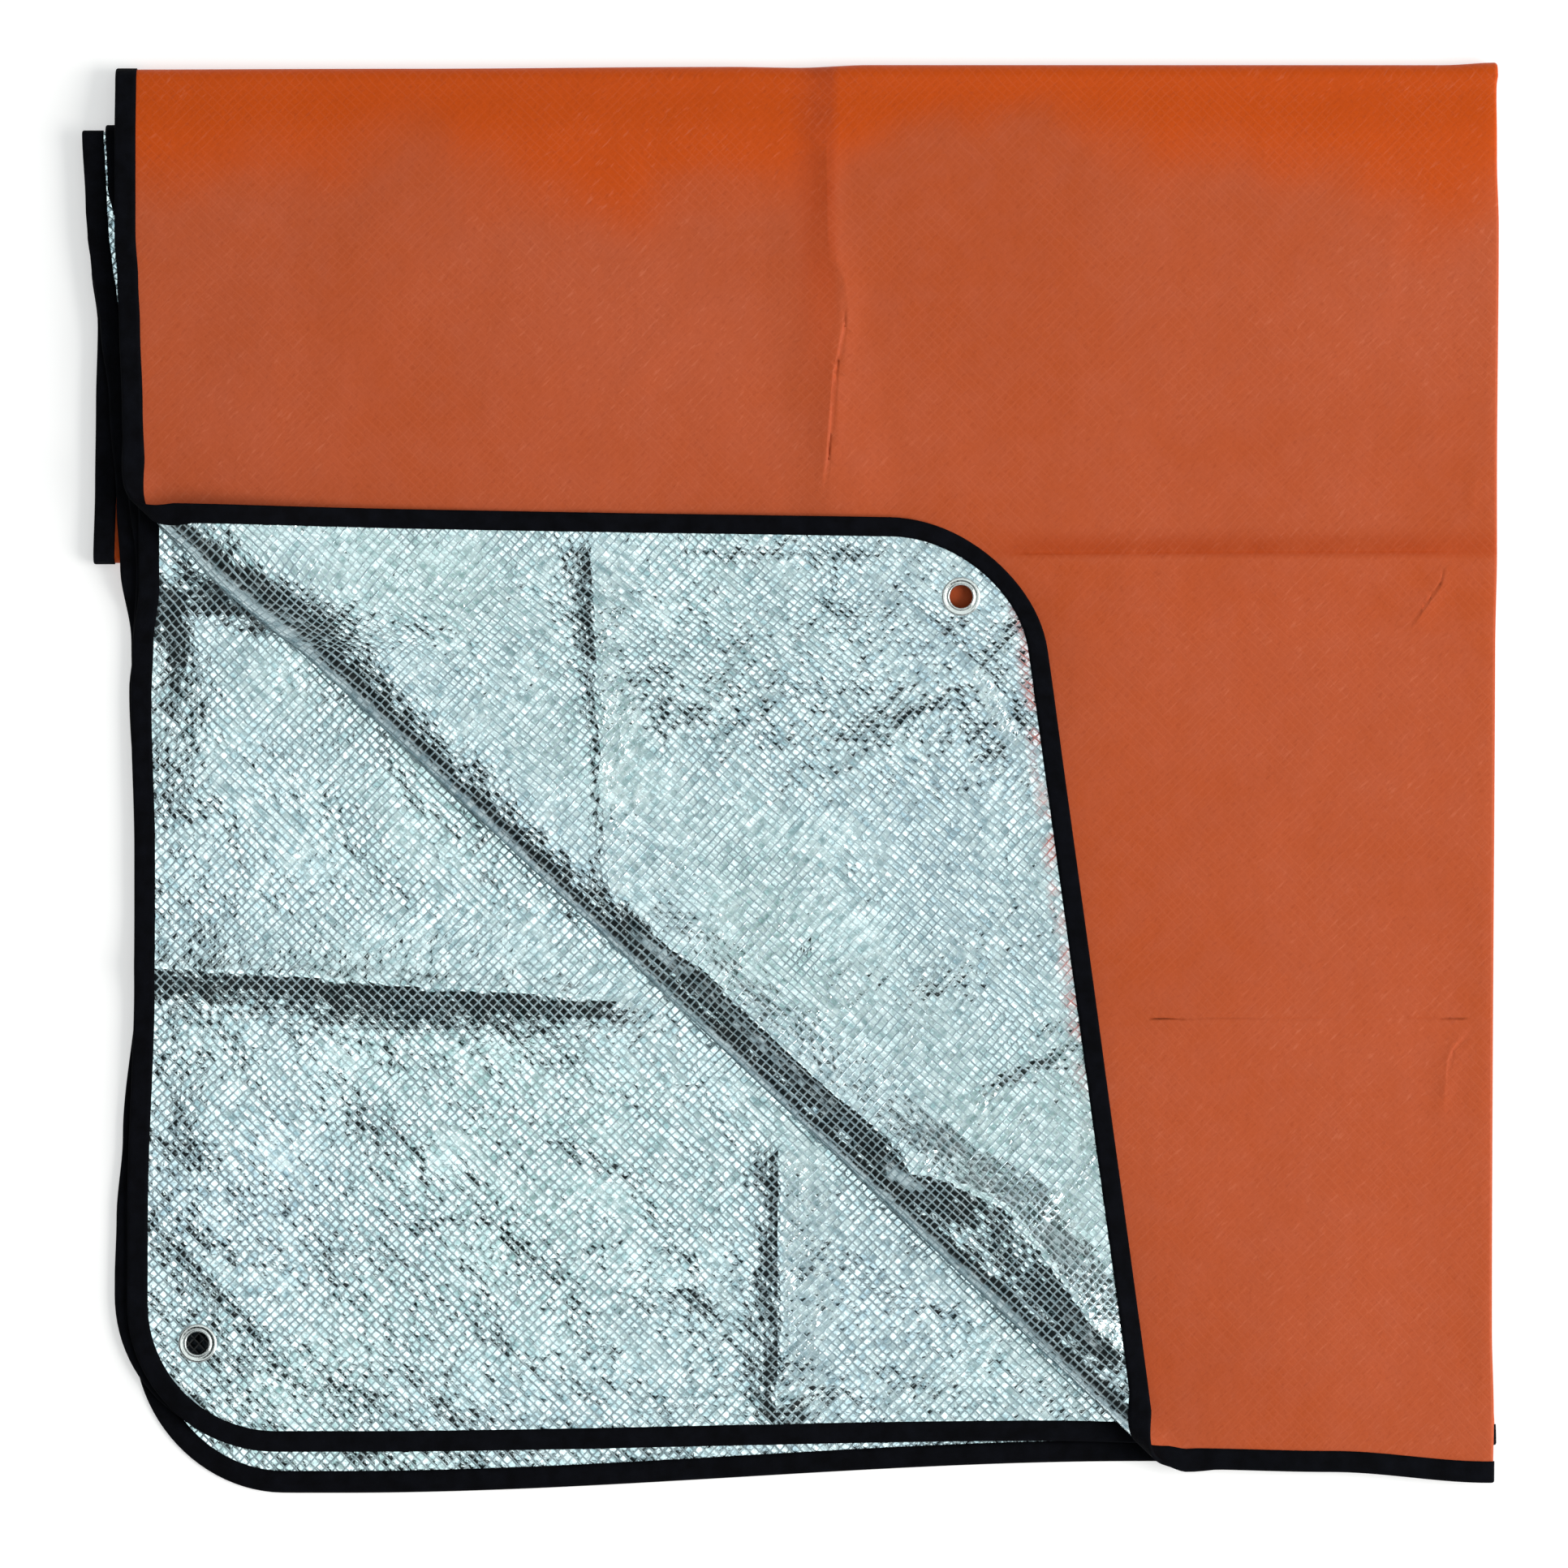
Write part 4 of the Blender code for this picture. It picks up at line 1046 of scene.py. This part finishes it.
bpy.ops.mesh.select_all(action="SELECT")
bpy.ops.mesh.spin(steps=64, angle=math.tau, center=(0, 0, 0), axis=(0, 0, 1))
bpy.ops.mesh.select_all(action="SELECT")
bpy.ops.mesh.remove_doubles(threshold=0.00001)
bpy.ops.mesh.normals_make_consistent(inside=False)
bpy.ops.object.mode_set(mode="OBJECT")
apply_all(ring)
bpy.ops.object.shade_smooth_by_angle(angle=math.radians(50))
print("one eyelet:", len(ring.data.polygons), "faces")

# %% One in each corner of the sheet
rings = []
for name, layer, x, y in EYELETS:
    point, normal = facing(*[np.array([c]) for c in holes[name]])
    normal = Vector(normal[0]) * (1 if normal[0][2] > 0 else -1)
    piece = ring.copy()
    piece.data = ring.data.copy()
    bpy.context.collection.objects.link(piece)
    piece.name = name + "_ring"
    place_it = Vector((0, 0, 1)).rotation_difference(normal).to_matrix().to_4x4()
    place_it.translation = Vector(point[0]) * MM
    piece.data.transform(place_it)
    rings.append(piece)
    print(piece.name, "leans", round(math.degrees(normal.angle((0, 0, 1))), 1), "degrees")
bpy.data.objects.remove(ring)

# %% [markdown]
# ## The scrim
# Threads cross every few millimetres at 45 degrees to the sheet's edges, and
# the films are pressed between them, so each cell is a small pillow that tilts
# its own way. As mesh that would be millions of faces, so it is shading only.
# Both sides show it, so it is a node group: the silver mirrors it strongly,
# on the orange it is a faint relief.

# %% A node group for the scrim
scrim = bpy.data.node_groups.new("scrim", "ShaderNodeTree")
for label, side, kind in (("Cloth", "INPUT", "Vector"), ("Spacing", "INPUT", "Float"),
                          ("Tilt", "INPUT", "Float"), ("Height", "OUTPUT", "Float"),
                          ("Thread", "OUTPUT", "Float"), ("Cell", "OUTPUT", "Float")):
    scrim.interface.new_socket(label, in_out=side, socket_type="NodeSocket" + kind)
n = Nodes(scrim)
given = n.add("NodeGroupInput")
turned_45 = n.add("ShaderNodeMapping", {"Vector": given["Cloth"],
                                        "Rotation": (0, 0, math.radians(45))})[0]
# the threads waver by less than a millimetre
wobble = n.noise(given["Cloth"], 160, 1, out="Color")
wavy = n.split(n.add("ShaderNodeVectorMath", {0: wobble, 1: (0.0009, 0.0009, 0), 2: turned_45},
                     operation="MULTIPLY_ADD")[0])
# how many threads lie between here and the start, each way, and the place in the cell
counted = [n.math("DIVIDE", wavy[k], given["Spacing"]) for k in (0, 1)]
in_cell = [n.math("SUBTRACT", n.math("FRACT", p), 0.5) for p in counted]
off_middle = [n.math("ABSOLUTE", p) for p in in_cell]
# each cell leans its own way and has a tone of its own
number = n.add("ShaderNodeCombineXYZ", {k: n.math("FLOOR", counted[k]) for k in (0, 1)})[0]
random = n.add("ShaderNodeTexWhiteNoise", {"Vector": number}, noise_dimensions="3D")["Color"]
leans = n.add("ShaderNodeSeparateColor", {0: random})
# a thread shows strongly in some places and faintly in others
worn = n.add("ShaderNodeSeparateColor", {0: n.noise(given["Cloth"], 26, out="Color")})
thread = n.math("MAXIMUM", *[n.times(n.range(off_middle[k], 0.35, 0.46, smooth=True),
                                     n.range(worn[k], 0.38, 0.58, 0.35, 1.0)) for k in (0, 1)])
# between the threads a pillow that leans, and the threads stand over it
pillow = n.math("SUBTRACT", 1.0, n.times(n.plus(*[n.times(p, p) for p in off_middle]), 2.2))
tilt = n.plus(*[n.times(in_cell[k], n.math("SUBTRACT", leans[k], 0.5)) for k in (0, 1)])
cell = n.plus(n.times(pillow, 0.8), n.times(tilt, given["Tilt"]))
height = n.plus(n.times(cell, n.math("SUBTRACT", 1.0, thread)), n.times(thread, 0.85))
n.add("NodeGroupOutput", {"Height": height, "Thread": thread, "Cell": leans[2]})
print("scrim group:", len(scrim.nodes), "nodes")

# %% [markdown]
# ## The silver side
# Aluminised film between threads: a mirror, broken up by the cells. Each cell
# gets a tone of its own, and strokes along the threads, as from rubbing, run
# over several of them. A photograph of foil could be laid on it, but it would
# carry that photograph's light. Three bumps lie one over the other: long
# dents, crinkle, and the scrim.

# %% Helpers for the finishes
SPACING = 0.0040           # metres from thread to thread


def new_material(name):
    material = bpy.data.materials.new(name)
    material.use_nodes = True
    return material, Nodes(material.node_tree), material.node_tree.nodes["Principled BSDF"]


def place_scrim(n, uv, tilt):
    return n.add("ShaderNodeGroup", {"Cloth": uv, "Spacing": SPACING, "Tilt": tilt},
                 node_tree=scrim)


def drawn_out(n, uv, turn, long, wide):
    """Noise in strokes of the given length and width, in metres, along one direction."""
    placed = n.add("ShaderNodeMapping", {"Vector": uv, "Rotation": (0, 0, math.radians(turn)),
                                         "Scale": (long, wide, 1)}, vector_type="TEXTURE")[0]
    return n.noise(placed, 1.0)


print("threads every", SPACING * 1000, "mm")

# %% Silver foil
silver, n, shader = new_material("silver_foil")
uv = n.add("ShaderNodeUVMap", uv_map="cloth")[0]
weave = place_scrim(n, uv, 2.6)
one_way, other_way = [drawn_out(n, uv, turn, 0.012, 0.004) for turn in (45, -45)]
which = n.range(n.noise(uv, 9, 1), 0.42, 0.58)
strokes = n.math("MULTIPLY_ADD", n.math("SUBTRACT", one_way, other_way), which, other_way)
tone = n.plus(n.range(strokes, 0.36, 0.62, 0.0, 0.60), n.times(weave["Cell"], 0.40))
foil = n.blend(n.range(n.noise(uv, 4), 0.4, 0.62), (0.28, 0.40, 0.46, 1), (0.27, 0.415, 0.41, 1))
foil = n.blend(tone, foil, (0.83, 0.96, 0.98, 1))
net = n.blend(n.times(weave["Cell"], 0.3), (0.25, 0.35, 0.40, 1), (0.35, 0.46, 0.50, 1))
# painted reflection: by the edge tape of the turned corner the threads and the foil are tinted red,
# standing in for the orange reflected in the foil there
u, v = n.split(uv)[:2]
painted_orange_reflection = n.times(n.range(v, 0.0145, 0.021, 1.0, 0.0), n.range(u, 0.30, 0.38, 1.0, 0.0))
painted_orange_reflection = n.times(painted_orange_reflection, n.range(n.noise(uv, 60), 0.42, 0.55))
net = n.blend(painted_orange_reflection, net, (0.50, 0.13, 0.11, 1))
foil = n.blend(n.times(painted_orange_reflection, 0.4), foil, (0.62, 0.32, 0.31, 1))
# painted shade: a dark disc on the film under the two eyelets in line, so that their hole reads dark
# like a deep hole in shade
under_hole = (*[c * MM for c in unfold("A4", *IN_LINE)], 0)
from_hole = n.add("ShaderNodeVectorMath", {0: uv, 1: under_hole}, operation="DISTANCE")["Value"]
painted_hole_shade = n.range(from_hole, 0.008, 0.012, 1.0, 0.0)
film = n.blend(weave["Thread"], foil, net)
dented = n.bump(drawn_out(n, uv, 45, 1 / 10, 1 / 20), 0.0040)
crinkle = n.plus(n.noise(uv, 55, 4, 0.6), n.times(n.noise(uv, 330), 0.16))
n.fill(shader, {
    "Base Color": n.blend(painted_hole_shade, film, (0.004, 0.005, 0.006, 1)),
    "Metallic": n.range(weave["Thread"], 0, 1, 1.0, 0.12),
    "Roughness": n.plus(n.range(weave["Thread"], 0, 1, 0.11, 0.45), n.times(n.noise(uv, 20), 0.06)),
    "Normal": n.bump(weave["Height"], 0.00022, n.bump(crinkle, 0.0008, dented))})
print(silver.name, "has", len(n.tree.nodes), "nodes")

# %% [markdown]
# ## The orange side
# A matt printed film. One flat orange would look like plastic sheet, so its
# colour drifts over the cloth, and small nicks and pale flecks run along the
# threads. Painted shade makes it deeper towards the top fold and in bands
# beside the old packing folds.

# %% Orange film
orange, n, shader = new_material("orange_film")
uv = n.add("ShaderNodeUVMap", uv_map="cloth")[0]
weave = place_scrim(n, uv, 0.25)
shade = n.noise(uv, 5, 3, 0.55)
fine_shade = n.noise(uv, 60, 3, 0.6)
grain = n.noise(uv, 420, 3, 0.6)
base = n.blend(n.range(shade, 0.35, 0.65), (0.465, 0.080, 0.021, 1), (0.50, 0.097, 0.035, 1))
base = n.blend(n.range(fine_shade, 0.4, 0.7, 0, 0.25), base, (0.50, 0.115, 0.058, 1))
u, v = n.split(uv)[:2]
# painted shade: the orange is deeper towards the top fold, where the film rolls over it and would
# catch less sheen
painted_top_shade = n.plus(v, n.times(shade, 0.20))
base = n.blend(n.range(painted_top_shade, 0.785, 0.835, smooth=True), base, (0.555, 0.072, 0.0050, 1))
# painted shade: bands of deeper orange beside two of the old packing folds, where their slopes would
# lie in shade
across = n.times(n.range(v, 0.499, 0.503), n.range(v, 0.504, 0.519, 1.0, 0.0, True))
across = n.times(across, n.range(u, 0.47, 0.50))
down = n.times(n.range(u, 0.368, 0.388, smooth=True), n.range(u, 0.394, 0.399, 1.0, 0.0))
down = n.times(down, n.range(v, 0.54, 0.70))
painted_crease_shade = n.times(n.math("MAXIMUM", across, down), n.range(fine_shade, 0.3, 0.6, 0.5, 0.9))
base = n.blend(painted_crease_shade, base, (0.43, 0.058, 0.010, 1))
dark_nick = (0.30, 0.040, 0.012, 1)
nicks = drawn_out(n, uv, 45, 0.005, 0.0015)
base = n.blend(n.range(grain, 0.35, 0.65, 0.10, 0.0), base, dark_nick)
base = n.blend(n.range(nicks, 0.30, 0.42, 0.22, 0.0), base, dark_nick)
dashes = drawn_out(n, uv, 45, 0.009, 0.0022)
fleck = n.times(n.range(dashes, 0.60, 0.72, 0.0, 0.22), n.range(shade, 0.4, 0.6))
fleck = n.plus(fleck, n.times(weave["Thread"], 0.07))
relief = n.plus(n.times(weave["Height"], 0.6), grain)
n.fill(shader, {
    "Base Color": n.blend(fleck, base, (0.72, 0.22, 0.12, 1)),
    "Roughness": n.range(fine_shade, 0.3, 0.7, 0.42, 0.56),
    "Specular IOR Level": 0.08,
    "Normal": n.bump(relief, 0.00009, n.bump(n.noise(uv, 40, 4, 0.6), 0.0008))})
print(orange.name, "has", len(n.tree.nodes), "nodes")

# %% [markdown]
# ## Tape, eyelets and floor
# The tape is a fine weave in near black: two sine waves across each other make
# its threads, and dust greys it unevenly. The eyelets are nickel, scuffed by
# handling. The floor is a plain pale paint.

# %% Black tape
THREAD = 0.0007            # metres, one wave of the tape's weave
black, n, shader = new_material("black_tape")
uv = n.add("ShaderNodeUVMap", uv_map="cloth")[0]
warp, weft = [n.math("SINE", n.times(way, math.tau / THREAD)) for way in n.split(uv)[:2]]
dust = n.noise(uv, 90, 3, 0.6)
black_tone, dusty_tone = (0.0012, 0.0013, 0.0022, 1), (0.004, 0.0045, 0.007, 1)
n.fill(shader, {
    "Base Color": n.blend(n.range(dust, 0.35, 0.7), black_tone, dusty_tone),
    "Roughness": n.range(dust, 0.3, 0.7, 0.72, 0.9),
    "Specular IOR Level": 0.05,
    "Normal": n.bump(n.times(warp, weft), 0.00006, n.bump(n.noise(uv, 45, 3), 0.0009))})
print(black.name, "has", len(n.tree.nodes), "nodes")

# %% Nickel
nickel, n, shader = new_material("nickel")
scuffs = n.noise(n.add("ShaderNodeTexCoord")["Object"], 700, 4, 0.65)
dull_tone, bright_tone = (0.58, 0.62, 0.61, 1), (0.78, 0.82, 0.81, 1)
n.fill(shader, {
    "Base Color": n.blend(n.range(scuffs, 0.35, 0.65), dull_tone, bright_tone),
    "Metallic": 1.0,
    "Roughness": n.range(scuffs, 0.3, 0.7, 0.18, 0.36),
    "Normal": n.bump(scuffs, 0.00005)})
print(nickel.name, "has", len(n.tree.nodes), "nodes")

# %% Floor paint
paint, n, shader = new_material("floor_paint")
drift = n.noise(n.add("ShaderNodeTexCoord")["Object"], 3)
n.fill(shader, {
    "Base Color": n.blend(drift, (0.63, 0.628, 0.625, 1), (0.65, 0.648, 0.645, 1)),
    "Roughness": 0.9,
    "Emission Color": (1, 1, 1, 1),
    "Emission Strength": 0.50})
floor.data.materials.append(paint)
print(paint.name, "has", len(n.tree.nodes), "nodes")

# %% Each piece gets its finish
sheet.data.materials.append(orange)
sheet.data.materials.append(silver)
tape.data.materials.append(black)
for piece in rings:
    piece.data.materials.append(nickel)
apply_all(sheet)
print("sheet:", len(sheet.data.polygons), "faces")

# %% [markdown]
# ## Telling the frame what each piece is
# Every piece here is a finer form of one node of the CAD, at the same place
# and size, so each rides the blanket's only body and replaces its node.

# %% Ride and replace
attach(sheet, "root")
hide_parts("blanket_sheet")
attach(tape, "root")
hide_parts("edge_binding")
for piece, (name, *_) in zip(rings, EYELETS):
    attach(piece, "root")
    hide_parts(name)
